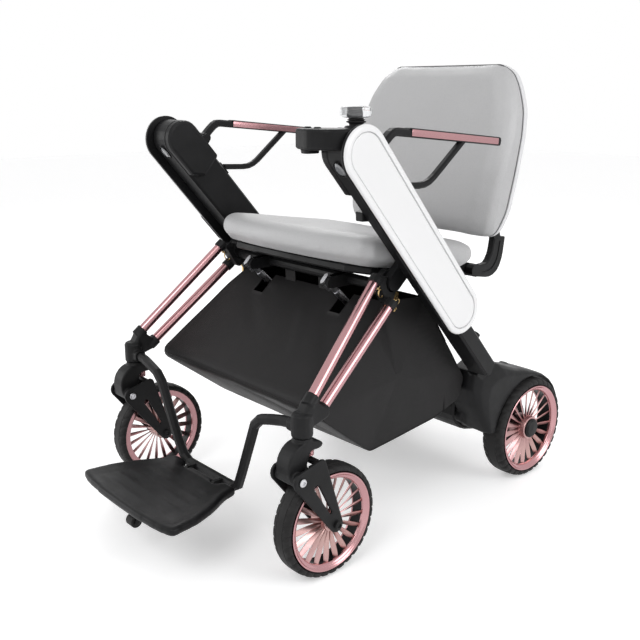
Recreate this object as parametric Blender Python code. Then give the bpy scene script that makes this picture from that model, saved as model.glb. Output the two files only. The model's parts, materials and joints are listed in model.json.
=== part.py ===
"""A folding electric wheelchair, in metres: +X is the occupant's left, -Y is ahead, +Z is up."""

import math

import bmesh
import bpy
from mathutils import Vector

# Layout. y runs rearwards from the swivel axis of the front casters until each piece is placed.
WHEELBASE = 0.631
FRONT_WHEEL_RADIUS = 0.100
REAR_WHEEL_RADIUS = 0.1066
CASTER_TRAIL = 0.049
CASTER_X = 0.265
REAR_WHEEL_X = 0.248
FOOT_REACH = 0.195
GAP = 0.0003

# Side beams, which slope down to the rear.
BEAM_TOP = (0.108, 0.700)
BEAM_SLOPE = math.radians(48.66)
BEAM_HALF = 0.0449
BEAM_FRONT = 0.0270
BEAM_LENGTH = 0.568
BEAM_TAIL = 0.0075
BEAM_IN = 0.234
BEAM_OUT = 0.282
COVER_LENGTH = 0.380
COVER_THICK = 0.0115
HEAD_LENGTH = 0.078
HEAD_IN = 0.219

# Pivots on the beam: distance down it, and off its centre line to the rear.
FRAME_PIVOT = (0.2555, -0.0503)
SEAT_PIVOT = (0.3174, 0.0)
ARM_PIVOT = (0.0425, 0.0559)

# Front frame.
CROSS_TUBE_RADIUS = 0.0105
CROSS_TUBE_DROP = 0.0114
LEG_TUBE_RADIUS = 0.0095
FRONT_LEG = ((0.266, 0.015, 0.318), (0.227, 0.2025, 0.4868))
REAR_LEG = ((0.262, 0.041, 0.294), (0.239, 0.228, 0.441))
HEAD_BOTTOM = 0.2625
HEAD_TOP = 0.303
HEAD_RADIUS = 0.018
FOOT_TUBE_WIDTH = 0.017
FOOT_HINGE = (-0.022, 0.106)
PLATE_TOP = 0.115
PLATE_THICK = 0.015

# Casters.
ARM_PIVOT_Y = -0.026
ARM_PIVOT_Z = 0.200
FORK_HALF = 0.0262
CROWN_HALF = 0.0165
BLADE_THICK = 0.0055
BRIDGE = (0.016, 0.2175)
SPRING_TOP = 0.240
FRONT_TYRE_WIDTH = 0.040
REAR_TYRE_WIDTH = 0.050
SPOKES = 21

# Seat and back.
SEAT_FRONT = 0.160
SEAT_REAR = 0.497
SEAT_HALF = 0.222
SEAT_TILT = math.radians(9.0)
TILT_Y = 0.190
PAN_BOTTOM = 0.4885
PAN_TOP = 0.5030
CUSHION_TOP = 0.5565
BACK_PIVOT = (0.540, 0.445)
BACK_BOTTOM = 0.512
BACK_TOP = 0.849
STRUT_X = 0.115
STRUT_TOP = (0.191, 0.462)
STRUT_FOOT = (WHEELBASE - 0.221, 0.255)
STRUT_RADIUS = 0.0105
ROD_RADIUS = 0.0065
STRUT_PIN = 0.0040
EYE_PLAY = 0.0010
EYE_SWAY = 0.0020

# Armrests.
ARM_X = 0.2500
ARM_WIDTH = 0.017
ARM_HEIGHT = 0.014

# Drive.
FENDER_RADIUS = 0.1115
# The fender's outer edge: degrees round the wheel from the rear, and distance from its axle.
FENDER_EDGE = ((24, 0.1152), (38, 0.1162), (52, 0.1172), (66, 0.1186), (80, 0.1216), (92, 0.1280),
               (104, 0.1400), (114, 0.1620), (122, 0.1920), (130, 0.2170), (138, 0.2300),
               (146, 0.2110), (154, 0.1810), (163, 0.1530), (172, 0.1340))
DRIVE_TOP = 0.210

# Controls.
STICK = (0.260, 0.118)
POD_TOP = 0.741
POD_BOTTOM = 0.709
PORT_IN = 0.221
BALL_RADIUS = 0.0122

for item in list(bpy.data.objects):
    bpy.data.objects.remove(item)

MIDDLE_Y = (WHEELBASE + REAR_WHEEL_RADIUS - FOOT_REACH) / 2
DOWN = Vector((0.0, math.cos(BEAM_SLOPE), -math.sin(BEAM_SLOPE)))
REARWARD = Vector((0.0, math.sin(BEAM_SLOPE), math.cos(BEAM_SLOPE)))
SIDE = Vector((1.0, 0.0, 0.0))
UP = Vector((0.0, 0.0, 1.0))


def on_beam(along, across=0.0):
    """The (y, z) point this far down the beam and this far behind its centre line."""
    point = Vector((0.0, *BEAM_TOP)) + DOWN * along + REARWARD * across
    return (point.y, point.z)


FRAME_AXIS = on_beam(*FRAME_PIVOT)
SEAT_AXIS = on_beam(*SEAT_PIVOT)
ARM_AXIS = on_beam(*ARM_PIVOT)


def material(name, colour, roughness, metallic=0.0, transmission=0.0):
    made = bpy.data.materials.new(name)
    made.use_nodes = True
    shader = made.node_tree.nodes["Principled BSDF"]
    shader.inputs["Base Color"].default_value = (*colour, 1.0)
    shader.inputs["Roughness"].default_value = roughness
    shader.inputs["Metallic"].default_value = metallic
    shader.inputs["Transmission Weight"].default_value = transmission
    return made


BLACK = material("satin_black", (0.022, 0.022, 0.024), 0.38)
CAST_BLACK = material("cast_black", (0.018, 0.018, 0.020), 0.55)
ROSE = material("rose_gold", (0.62, 0.30, 0.29), 0.24, 1.0)
BRASS = material("brass", (0.55, 0.38, 0.15), 0.35, 1.0)
STEEL = material("steel", (0.55, 0.55, 0.57), 0.30, 1.0)
WHITE = material("gloss_white", (0.88, 0.88, 0.89), 0.22)
SHELL_WHITE = material("shell_white", (0.82, 0.82, 0.83), 0.35)
LEATHER = material("grey_leather", (0.46, 0.46, 0.47), 0.50)
FABRIC = material("bag_fabric", (0.030, 0.028, 0.030), 0.60)
TYRE = material("tyre_rubber", (0.020, 0.020, 0.021), 0.75)
CLEAR = material("clear_knob", (0.92, 0.94, 0.95), 0.05, 0.0, 0.9)
LENS = material("lamp_lens", (0.50, 0.52, 0.55), 0.10)


def solid(name, points, faces):
    """A closed mesh with its faces turned outwards."""
    mesh = bpy.data.meshes.new(name)
    mesh.from_pydata([tuple(point) for point in points], [], faces)
    work = bmesh.new()
    work.from_mesh(mesh)
    bmesh.ops.remove_doubles(work, verts=work.verts, dist=1e-6)
    bmesh.ops.recalc_face_normals(work, faces=work.faces)
    if work.calc_volume(signed=True) < 0:
        bmesh.ops.reverse_faces(work, faces=work.faces)
    work.to_mesh(mesh)
    work.free()
    made = bpy.data.objects.new(name, mesh)
    bpy.context.scene.collection.objects.link(made)
    return made


def applied(item):
    """The object with its modifiers made part of its mesh."""
    graph = bpy.context.evaluated_depsgraph_get()
    mesh = bpy.data.meshes.new_from_object(item.evaluated_get(graph))
    item.modifiers.clear()
    item.data = mesh
    return item


def combine(body, tool, operation):
    step = body.modifiers.new(operation, "BOOLEAN")
    step.operation = operation
    step.solver = "EXACT"
    step.object = tool
    applied(body)
    bpy.data.objects.remove(tool)
    return body


def add(body, *tools):
    for tool in tools:
        combine(body, tool, "UNION")
    return body


def cut(body, *tools):
    for tool in tools:
        combine(body, tool, "DIFFERENCE")
    return body


def bevelled(body, width, segments=1, angle=35.0):
    step = body.modifiers.new("bevel", "BEVEL")
    step.width = width
    step.segments = segments
    step.limit_method = "ANGLE"
    step.angle_limit = math.radians(angle)
    return applied(body)


def prism(name, outline, low, high, axis="X"):
    """An outline pushed along an axis: (y, z) points for X, (x, z) for Y and (x, y) for Z."""
    def corner(first, second, level):
        if axis == "X":
            return (level, first, second)
        if axis == "Y":
            return (first, level, second)
        return (first, second, level)

    count = len(outline)
    points = [corner(*point, low) for point in outline]
    points += [corner(*point, high) for point in outline]
    faces = [tuple(range(count)), tuple(range(count, 2 * count))]
    faces += [(i, (i + 1) % count, count + (i + 1) % count, count + i) for i in range(count)]
    return solid(name, points, faces)


def frame_of(direction):
    """Two unit vectors square to a direction."""
    along = Vector(direction).normalized()
    helper = SIDE if abs(along.x) < 0.9 else UP
    first = along.cross(helper).normalized()
    return along, first, along.cross(first)


def lathe(name, profile, start, direction, segments=18, turn=0.0):
    """A profile of (along, radius) points turned about a line, a ring when it stays off the line."""
    along, first, second = frame_of(direction)
    start = Vector(start)
    points, rows = [], []
    for distance, radius in profile:
        if radius < 1e-7:
            rows.append([len(points)] * segments)
            points.append(start + along * distance)
            continue
        rows.append(list(range(len(points), len(points) + segments)))
        for i in range(segments):
            angle = turn + 2 * math.pi * i / segments
            spoke = first * math.cos(angle) + second * math.sin(angle)
            points.append(start + along * distance + spoke * radius)
    faces = []
    ring = profile[0][1] > 1e-7
    pairs = list(zip(rows, rows[1:])) + ([(rows[-1], rows[0])] if ring else [])
    for low, high in pairs:
        for i in range(segments):
            j = (i + 1) % segments
            corners = [low[i], low[j], high[j], high[i]]
            faces.append(tuple(dict.fromkeys(corners)))
    return solid(name, points, [face for face in faces if len(face) > 2])


def rod(name, start, end, radius, segments=12):
    length = (Vector(end) - Vector(start)).length
    profile = [(0.0, 0.0), (0.0, radius), (length, radius), (length, 0.0)]
    return lathe(name, profile, start, Vector(end) - Vector(start), segments)


def cross_rod(name, low, high, centre, radius, segments=12):
    """A round bar across the chair, at a (y, z) centre."""
    return rod(name, (low, *centre), (high, *centre), radius, segments)


def sleeve(name, low, high, centre, radius, bore, segments=12):
    profile = [(0.0, bore), (0.0, radius), (high - low, radius), (high - low, bore)]
    return lathe(name, profile, (low, *centre), SIDE, segments)


def arc(centre, radius, start, end, steps):
    """(y, z) points of an arc, in degrees."""
    found = []
    for i in range(steps + 1):
        angle = math.radians(start + (end - start) * i / max(1, steps))
        found.append((centre[0] + radius * math.cos(angle), centre[1] + radius * math.sin(angle)))
    return found


def hull(*circles, steps=12):
    """The outline round several circles, each (y, z, radius)."""
    cloud = []
    for first, second, radius in circles:
        cloud += arc((first, second), radius, 0.0, 360.0 * (steps - 1) / steps, steps - 1)
    cloud = sorted(set(cloud))

    def half(points):
        chain = []
        for point in points:
            while len(chain) > 1:
                ax, ay = chain[-1][0] - chain[-2][0], chain[-1][1] - chain[-2][1]
                bx, by = point[0] - chain[-2][0], point[1] - chain[-2][1]
                if ax * by - ay * bx > 1e-9:
                    break
                chain.pop()
            chain.append(point)
        return chain[:-1]

    return half(cloud) + half(cloud[::-1])


def rounded(points, radius, steps=2, closed=True):
    """The points with each corner turned into a curve, in two or three dimensions."""
    count = len(points)
    corners = [Vector(point) for point in points]
    found = []
    for i, corner in enumerate(corners):
        if not closed and i in (0, count - 1):
            found.append(corner)
            continue
        before, after = corners[i - 1], corners[(i + 1) % count]
        reach = radius[i] if isinstance(radius, (list, tuple)) else radius
        reach = min(reach, 0.49 * (before - corner).length, 0.49 * (after - corner).length)
        if reach < 1e-6:
            found.append(corner)
            continue
        start = corner + (before - corner).normalized() * reach
        end = corner + (after - corner).normalized() * reach
        for k in range(steps + 1):
            t = k / steps
            found.append(start * (1 - t) ** 2 + corner * 2 * t * (1 - t) + end * t * t)
    return [tuple(point) for point in found]


def box_section(width, height, corner, steps=1):
    """A rounded rectangle about the middle."""
    x, y = width / 2, height / 2
    return rounded([(-x, -y), (x, -y), (x, y), (-x, y)], corner, steps)


def sweep(name, path, section, normal, scales=None):
    """A section carried along a path, its first coordinate along the normal."""
    line = [Vector(point) for point in path]
    normal = Vector(normal)
    points, count = [], len(section)
    for i, here in enumerate(line):
        before = (here - line[i - 1]).normalized() if i else None
        after = (line[i + 1] - here).normalized() if i + 1 < len(line) else None
        tangent = (before or after) + (after or before)
        tangent.normalize()
        across = (normal - tangent * normal.dot(tangent)).normalized()
        other = tangent.cross(across)
        stretch = 1.0
        if before and after:
            stretch = 1.0 / max(0.5, math.sqrt((1 + before.dot(after)) / 2))
        size = scales[i] if scales else 1.0
        for first, second in section:
            points.append(here + across * first * size + other * second * stretch * size)
    faces = [tuple(range(count)), tuple(range(len(points) - count, len(points)))]
    for row in range(len(line) - 1):
        for k in range(count):
            a, b = row * count + k, row * count + (k + 1) % count
            faces.append((a, b, b + count, a + count))
    return solid(name, points, faces)


def loft(name, rings):
    """Closed rings of equal count joined in order, the first and the last filled."""
    count = len(rings[0])
    points = [point for ring in rings for point in ring]
    faces = [tuple(range(count)), tuple(range(len(points) - count, len(points)))]
    for row in range(len(rings) - 1):
        for k in range(count):
            a, b = row * count + k, row * count + (k + 1) % count
            faces.append((a, b, b + count, a + count))
    return solid(name, points, faces)


def mirrored(body, name):
    """The right-hand copy of a left-hand piece."""
    mesh = body.data.copy()
    work = bmesh.new()
    work.from_mesh(mesh)
    for vertex in work.verts:
        vertex.co.x = -vertex.co.x
    bmesh.ops.reverse_faces(work, faces=work.faces)
    work.to_mesh(mesh)
    work.free()
    made = bpy.data.objects.new(name, mesh)
    bpy.context.scene.collection.objects.link(made)
    return made


def place(body, look, pivot=(0.0, 0.0, 0.0)):
    """Gives a finished piece its look, its origin on its joint and its place about the middle."""
    work = bmesh.new()
    work.from_mesh(body.data)
    bmesh.ops.dissolve_degenerate(work, edges=work.edges, dist=2e-6)
    bmesh.ops.triangulate(work, faces=[face for face in work.faces if len(face.verts) > 4])
    for vertex in work.verts:
        vertex.co -= Vector(pivot)
    work.to_mesh(body.data)
    work.free()
    for face in body.data.polygons:
        face.use_smooth = True
    body.data.set_sharp_from_angle(angle=math.radians(38))
    body.data.materials.clear()
    body.data.materials.append(look)
    body.name = body.name.split(".")[0]
    body.data.name = body.name
    body.location = Vector(pivot) - Vector((0.0, MIDDLE_Y, 0.0))
    return body


def tilted(body):
    """The body leaned with the seat, down towards the rear."""
    for vertex in body.data.vertices:
        y, z = vertex.co.y - TILT_Y, vertex.co.z - PAN_TOP
        vertex.co.y = TILT_Y + y * math.cos(SEAT_TILT) + z * math.sin(SEAT_TILT)
        vertex.co.z = PAN_TOP - y * math.sin(SEAT_TILT) + z * math.cos(SEAT_TILT)
    return body


def under_pan(y):
    """The height of the leaned seat pan's underside."""
    return PAN_BOTTOM - (y - TILT_Y) * math.tan(SEAT_TILT)


def offset(outline, amount):
    """A counter-clockwise outline moved outwards."""
    found = []
    for i, (first, second) in enumerate(outline):
        run = Vector(outline[(i + 1) % len(outline)]) - Vector(outline[i - 1])
        run.normalize()
        found.append((first + run.y * amount, second - run.x * amount))
    return found


def both_sides(body, look, pivot=(0.0, 0.0, 0.0)):
    """Places a left-hand piece and its right-hand copy."""
    copy = mirrored(body, body.name.replace("left_", "right_"))
    place(body, look, pivot)
    place(copy, look, (-pivot[0], pivot[1], pivot[2]))


def pod_outline(grow=0.0):
    outline = [(0.188, 0.052), (0.225, 0.046), (0.262, 0.058), (0.2795, 0.088), (0.2795, 0.126),
               (0.262, 0.141), (0.241, 0.135), (0.226, 0.108), (0.193, 0.092)]
    return offset(rounded(outline, 0.008), grow)


def side_beams():
    middle, half = (BEAM_HALF - BEAM_FRONT) / 2, (BEAM_HALF + BEAM_FRONT) / 2
    angle = math.degrees(math.atan2(REARWARD.z, REARWARD.y))
    nose = arc(on_beam(0.0, middle), half, angle, angle + 180.0, 14)
    tail = arc(on_beam(COVER_LENGTH), BEAM_HALF - 0.001, angle - 80.0, angle, 6)
    step = COVER_LENGTH + 0.052
    foot = [on_beam(BEAM_LENGTH - 0.012, -BEAM_FRONT), on_beam(BEAM_LENGTH, -BEAM_FRONT + 0.010),
            on_beam(BEAM_LENGTH - 0.010, BEAM_TAIL), on_beam(step, BEAM_TAIL)]
    body = prism("left_beam", nose + foot + tail, BEAM_IN, BEAM_OUT - GAP)
    bevelled(body, 0.004, 1, 60)
    brow = [on_beam(HEAD_LENGTH - 0.014, -BEAM_FRONT), on_beam(HEAD_LENGTH + 0.010, -BEAM_FRONT + 0.020),
            on_beam(HEAD_LENGTH + 0.002, BEAM_HALF)]
    head = prism("head", nose + brow, HEAD_IN, BEAM_IN + 0.006)
    bevelled(head, 0.006, 2, 60)
    lug = prism("lug", hull((*FRAME_AXIS, 0.0165), (*on_beam(FRAME_PIVOT[0], -0.020), 0.0165)),
                BEAM_IN - 0.0115, BEAM_IN + 0.004)
    boss = cross_rod("boss", BEAM_IN - 0.008, BEAM_IN + 0.004, SEAT_AXIS, 0.017)
    pin = cross_rod("pin", BEAM_IN - 0.027, BEAM_IN + 0.004, SEAT_AXIS, 0.006, 12)
    add(body, head, lug, boss, pin)
    ear = [(*ARM_AXIS, 0.0085), (*on_beam(ARM_PIVOT[0], BEAM_HALF - 0.012), 0.013)]
    for low in (ARM_X - ARM_WIDTH / 2 - 0.0063, ARM_X + ARM_WIDTH / 2 + 0.0008):
        add(body, prism("ear", hull(*ear), low, low + 0.0055))
    add(body, cross_rod("pin", ARM_X - 0.012, ARM_X + 0.012, ARM_AXIS, 0.0035, 12))
    lamp_at = Vector((BEAM_OUT - 0.028, *on_beam(0.004, -BEAM_FRONT)))
    oval = [(0.0098 * math.cos(t * math.pi / 8), 0.0148 * math.sin(t * math.pi / 8))
            for t in range(16)]
    spots = [lamp_at + SIDE * a + DOWN * b for a, b in oval]
    cut(body, loft("pocket", [[p + REARWARD * 0.005 for p in spots],
                              [p - REARWARD * 0.014 for p in spots]]))
    knob_end = on_beam(step + (BEAM_LENGTH - step) * 0.412, BEAM_TAIL)
    lever_seat = Vector((0.258, *knob_end))
    add(body, rod("seat", lever_seat - REARWARD * 0.006, lever_seat + REARWARD * 0.006, 0.011))
    other = mirrored(body, "right_beam")
    cut(body, prism("seat", pod_outline(GAP), POD_BOTTOM - GAP, POD_TOP + 0.02, "Z"))
    port = [(0.1560, 0.5890), (0.1550, 0.6040), (0.1660, 0.6075), (0.1890, 0.6060), (0.1900, 0.5870)]
    port = prism("port", port[::-1], PORT_IN, BEAM_IN + 0.004)
    add(body, bevelled(port, 0.0015, 1, 50))
    place(body, BLACK)
    place(other, BLACK)

    scale = 0.90
    base = [lamp_at + (SIDE * a + DOWN * b) * scale for a, b in oval]
    dome = [lamp_at + (SIDE * a + DOWN * b) * scale * 0.70 for a, b in oval]
    lens = loft("left_headlamp", [[p + REARWARD * (0.005 - GAP) for p in base],
                                  [p - REARWARD * 0.0005 for p in base],
                                  [p - REARWARD * 0.0032 for p in dome]])
    both_sides(lens, LENS)

    stem = lever_seat + REARWARD * (0.006 + GAP)
    lever = rod("left_freewheel_lever", stem, stem + REARWARD * 0.007, 0.0085)
    paddle = [lever_seat + REARWARD * 0.0085 - DOWN * 0.020, lever_seat + REARWARD * 0.0085]
    add(lever, sweep("paddle", paddle, box_section(0.009, 0.005, 0.002), SIDE))
    both_sides(lever, CAST_BLACK, tuple(stem))


def side_covers():
    top, low = on_beam(0.0, 0.0045), on_beam(COVER_LENGTH)
    body = prism("left_side_cover", hull((*top, BEAM_HALF + 0.0010), (*low, BEAM_HALF), steps=20),
                 BEAM_OUT, BEAM_OUT + COVER_THICK)
    bevelled(body, 0.0035, 2, 60)
    panel = prism("panel", hull((*top, 0.034), (*low, 0.034), steps=16),
                  BEAM_OUT + COVER_THICK - 0.0012, BEAM_OUT + COVER_THICK + 0.01)
    cut(body, panel)
    face = (BEAM_OUT + COVER_THICK * 0.5)
    groove = [(face, *on_beam(COVER_LENGTH - 0.100, -BEAM_HALF)),
              (face, *on_beam(COVER_LENGTH - 0.010, -BEAM_HALF))]
    cut(body, sweep("groove", groove, box_section(0.0035, 0.003, 0.001), SIDE))
    both_sides(body, WHITE)


def front_frame():
    y, z = FRAME_AXIS
    inner = BEAM_IN - 0.0115 - GAP
    tube = (y, z - CROSS_TUBE_DROP)
    body = cross_rod("front_cross_tube", -inner + 0.004, inner - 0.004, tube, CROSS_TUBE_RADIUS)
    for side in (1, -1):
        low, high = sorted((side * (inner - 0.014), side * inner))
        add(body, cross_rod("disc", low, high, FRAME_AXIS, 0.021, 16))
        tops = [Vector(FRONT_LEG[1]), Vector(REAR_LEG[1])]
        lows = [Vector(FRONT_LEG[0]), Vector(REAR_LEG[0])]
        web = hull((y - 0.004, z - 0.004, 0.014), (tops[0].y + 0.006, tops[0].z - 0.006, 0.008),
                   (tops[1].y + 0.004, tops[1].z + 0.004, 0.008))
        low, high = sorted((side * (inner - 0.012), side * (BEAM_IN - 0.001)))
        web = prism("web", web, low, high)
        notch = sorted((side * (inner - 0.0006), side * (BEAM_IN + 0.02)))
        cut(web, cross_rod("notch", *notch, FRAME_AXIS, 0.0187, 12))
        add(body, web)
        for top, low in zip(tops, lows):
            run = (top - low).normalized()
            start, end = top - run * 0.013, top + run * 0.002
            start.x *= side
            end.x *= side
            add(body, rod("socket", start, end, LEG_TUBE_RADIUS + 0.0022, 12))
        for top, low in zip(tops, lows):
            run = (top - low).normalized()
            start, end = top - run * 0.030, top
            start.x *= side
            end.x *= side
            cut(body, rod("bore", start, end, LEG_TUBE_RADIUS + GAP))
        arm = hull((y, z, 0.010), (y + 0.0137, z - 0.0376, 0.008))
        low, high = sorted((side * (inner - 0.010), side * (inner - 0.003)))
        add(body, prism("arm", arm, low, high))
        pin = sorted((side * (inner - 0.005), side * (inner + 0.0095)))
        add(body, cross_rod("pin", *pin, (y + 0.0137, z - 0.0376), 0.003, 12))
        for start in (STRUT_X - 0.0100, STRUT_X + 0.0050):
            low, high = sorted((side * start, side * (start + 0.005)))
            crank = hull((*STRUT_TOP, 0.0100), (*tube, CROSS_TUBE_RADIUS + 0.001))
            add(body, prism("crank", crank, low, high))
        low, high = sorted((side * (STRUT_X - 0.008), side * (STRUT_X + 0.008)))
        add(body, cross_rod("pin", low, high, STRUT_TOP, STRUT_PIN))
    place(body, CAST_BLACK, (0.0, *FRAME_AXIS))

    for name, (low, top) in (("left_front_leg", FRONT_LEG), ("left_rear_leg", REAR_LEG)):
        low, top = Vector(low), Vector(top)
        run = (top - low).normalized()
        tube = rod(name, low + run * GAP, top - run * GAP, LEG_TUBE_RADIUS)
        both_sides(tube, ROSE, (0.0, *FRAME_AXIS))

    head = lathe("left_head_casting",
                 [(0.0, 0.0), (0.0, HEAD_RADIUS - 0.002), (0.002, HEAD_RADIUS),
                  (HEAD_TOP - HEAD_BOTTOM - 0.004, HEAD_RADIUS),
                  (HEAD_TOP - HEAD_BOTTOM, HEAD_RADIUS - 0.004), (HEAD_TOP - HEAD_BOTTOM, 0.0)],
                 (CASTER_X, 0.0, HEAD_BOTTOM), UP, 16)
    web = hull((0.0, HEAD_BOTTOM + 0.022, 0.012), (0.014, 0.313, 0.009), (0.042, 0.293, 0.009))
    web = prism("web", web, CASTER_X - 0.013, CASTER_X + 0.012)
    add(head, bevelled(web, 0.003))
    for low, top in (FRONT_LEG, REAR_LEG):
        run = (Vector(top) - Vector(low)).normalized()
        add(head, rod("socket", Vector(low) - run * 0.008, Vector(low) + run * 0.012,
                      LEG_TUBE_RADIUS + 0.0025, 12))
    socket_z = HEAD_BOTTOM + 0.0145
    boss = sweep("boss", [(CASTER_X, 0, socket_z), (CASTER_X - 0.027, 0, socket_z)],
                 box_section(0.0225, 0.0225, 0.005), (0, 1, 0))
    add(head, boss)
    for low, top in (FRONT_LEG, REAR_LEG):
        run = (Vector(top) - Vector(low)).normalized()
        cut(head, rod("bore", Vector(low), Vector(low) + run * 0.040, LEG_TUBE_RADIUS + GAP))
    mouth = [(CASTER_X - 0.0205, 0, socket_z), (CASTER_X - 0.040, 0, socket_z)]
    cut(head, sweep("mouth", mouth, box_section(FOOT_TUBE_WIDTH + 2 * GAP, FOOT_TUBE_WIDTH + 2 * GAP,
                                                0.004), (0, 1, 0)))
    cut(head, rod("bore", (CASTER_X, 0, HEAD_BOTTOM - 0.01), (CASTER_X, 0, HEAD_TOP - 0.010),
                  0.008 + GAP, 12))
    both_sides(head, CAST_BLACK, (0.0, *FRAME_AXIS))
    return socket_z


def footrest(socket_z):
    half = [(CASTER_X - 0.0208, 0.0, socket_z), (0.226, 0.0, socket_z), (0.178, -0.006, socket_z - 0.009),
            (0.154, -0.007, socket_z - 0.017), (0.099, -0.003, 0.132),
            (0.083, 0.0, 0.104), (0.060, 0.0, 0.1035)]
    path = half + [(-x, y, z) for x, y, z in half[::-1]]
    path = rounded(path, 0.022, 1, closed=False)
    tube = sweep("footrest_tube", path, box_section(FOOT_TUBE_WIDTH, FOOT_TUBE_WIDTH, 0.0045),
                 (0, 1, 0))
    y, z = FOOT_HINGE
    for side in (1, -1):
        low, high = sorted((side * 0.0400, side * 0.0470))
        add(tube, prism("lug", hull((y, z, 0.0065), (0.0, 0.1035, 0.0075)), low, high))
    add(tube, cross_rod("pin", -0.043, 0.043, FOOT_HINGE, 0.003, 12))
    place(tube, CAST_BLACK, (0.0, *FRAME_AXIS))

    rear = y - 0.0085
    heel = y + 0.0095
    outline = [(0.056, rear), (0.060, heel), (0.098, heel), (0.106, rear - 0.012), (0.130, -0.085),
               (0.145, -0.125), (0.153, -0.180), (0.122, -0.1885), (0.060, -FOOT_REACH + 0.001),
               (0.0, -FOOT_REACH)]
    right = [(-px, py) for px, py in outline[-2::-1]]
    outline = rounded(outline + right, 0.005, 1)
    plate = prism("footplate", outline, PLATE_TOP - PLATE_THICK, PLATE_TOP, "Z")
    bevelled(plate, 0.0025, 1, 50)
    seam = [(px * 1.1, (py + 0.10) * 1.1 - 0.10) for px, py in outline]
    inner = [(px * 0.975, (py + 0.10) * 0.975 - 0.10) for px, py in outline]
    tread = [(px * 0.90, (py + 0.10) * 0.90 - 0.10) for px, py in outline]
    mid = PLATE_TOP - PLATE_THICK * 0.5
    ring = prism("seam", seam, mid - 0.0008, mid + 0.0008, "Z")
    cut(ring, prism("core", inner, mid - 0.01, mid + 0.01, "Z"))
    cut(plate, ring)
    cut(plate, prism("tread", tread, PLATE_TOP - 0.0012, PLATE_TOP + 0.01, "Z"))
    for row in range(5):
        at = rear - 0.032 - row * 0.025
        reach = 0.079 + row * 0.007
        add(plate, sweep("rib", [(-reach, at, PLATE_TOP - 0.0014), (reach, at, PLATE_TOP - 0.0014)],
                         box_section(0.005, 0.0028, 0.0), (0, 1, 0)))
    knuckle = cross_rod("knuckle", -0.0395, 0.0395, FOOT_HINGE, 0.0062)
    neck = prism("neck", [(y, z + 0.004), (y, z - 0.004), (y - 0.016, PLATE_TOP - PLATE_THICK + 0.003),
                          (y - 0.016, PLATE_TOP - 0.004)], -0.0395, 0.0395)
    add(plate, add(knuckle, neck))
    for side in (1, -1):
        low, high = sorted((side * 0.0395, side * 0.0480))
        cut(plate, prism("relief", hull((y, z, 0.0072), (y + 0.02, z, 0.0072)), low, high))
    cut(plate, cross_rod("bore", -0.06, 0.06, FOOT_HINGE, 0.003 + GAP, 12))
    for side in (1, -1):
        low, high = sorted((side * 0.0100, side * 0.0140))
        leg = hull((-0.165, 0.066, 0.0065), (-0.150, PLATE_TOP - PLATE_THICK + 0.003, 0.009))
        add(plate, prism("bracket", leg, low, high))
    add(plate, cross_rod("axle", -0.0125, 0.0125, (-0.165, 0.066), 0.0025, 12))
    place(plate, BLACK, (0.0, *FOOT_HINGE))
    roller = sleeve("footplate_roller", -0.0093, 0.0093, (-0.165, 0.066), 0.0110, 0.0029, 20)
    place(roller, TYRE, (0.0, -0.165, 0.066))


def spoke(hub, ring, x, half, angle, centre):
    """One twisted blade, from near the hub to the ring."""
    rings = []
    ends = ((hub, 0.40, 0.40, 48.0, 0.0011, 0.30), (ring, 0.14, 0.32, 28.0, 0.0019, 1.05))
    for radius, offset, reach, turn, thick, spread in ends:
        twist = math.radians(turn)
        corners = []
        for a, b in ((-1, -1), (1, -1), (1, 1), (-1, 1)):
            along = a * half * reach * math.cos(twist) - b * thick * math.sin(twist)
            around = a * half * reach * math.sin(twist) * spread + b * thick * math.cos(twist)
            spin = angle + around / radius
            corners.append((x + half * offset + along, centre[0] + radius * math.cos(spin),
                            centre[1] + radius * math.sin(spin)))
        rings.append(corners)
    return rings


def wheel(prefix, x, centre, radius, width, rim_radius, hub_radius, bore, segments):
    """A tyre and a rim of twisted blades; x is the middle of the tyre."""
    half = width / 2
    seat = rim_radius + GAP
    side_in = seat + 0.0012
    depth = radius - side_in
    side = [(0.80, seat), (1.0, side_in + depth * 0.12), (0.98, side_in + depth * 0.42), (0.45, radius)]
    profile = [(-half * a, b) for a, b in side] + [(half * a, b) for a, b in side[::-1]]
    tyre = lathe(prefix + "_tyre", profile, (x, *centre), SIDE, segments)
    lip = half + 0.0012
    inner = rim_radius - 0.0115
    rim = lathe(prefix + "_rim", [(-half * 0.76, rim_radius), (half * 0.78, rim_radius),
                                  (lip, rim_radius - 0.0012), (lip, rim_radius - 0.0040),
                                  (half * 0.52, inner), (-half * 0.66, inner)],
                (x, *centre), SIDE, segments)
    hub_low, hub_high = -half * 0.86, half * 0.92
    hub = lathe("hub", [(hub_low, bore), (hub_low, hub_radius), (hub_high, hub_radius),
                        (hub_high, bore)], (x, *centre), SIDE, SPOKES)
    points, faces = [], []
    for k in range(SPOKES):
        rings = spoke(hub_radius * 0.82, inner + 0.004, x, half, 2 * math.pi * (k + 0.5) / SPOKES, centre)
        base = len(points)
        for ring in rings:
            points += ring
        faces.append(tuple(base + i for i in (3, 2, 1, 0)))
        faces.append(tuple(base + 4 + i for i in range(4)))
        for i in range(4):
            a, b = base + i, base + (i + 1) % 4
            faces.append((a, b, b + 4, a + 4))
    blades = solid("blades", points, faces)
    add(rim, hub)
    add(rim, blades)
    return tyre, rim


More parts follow.
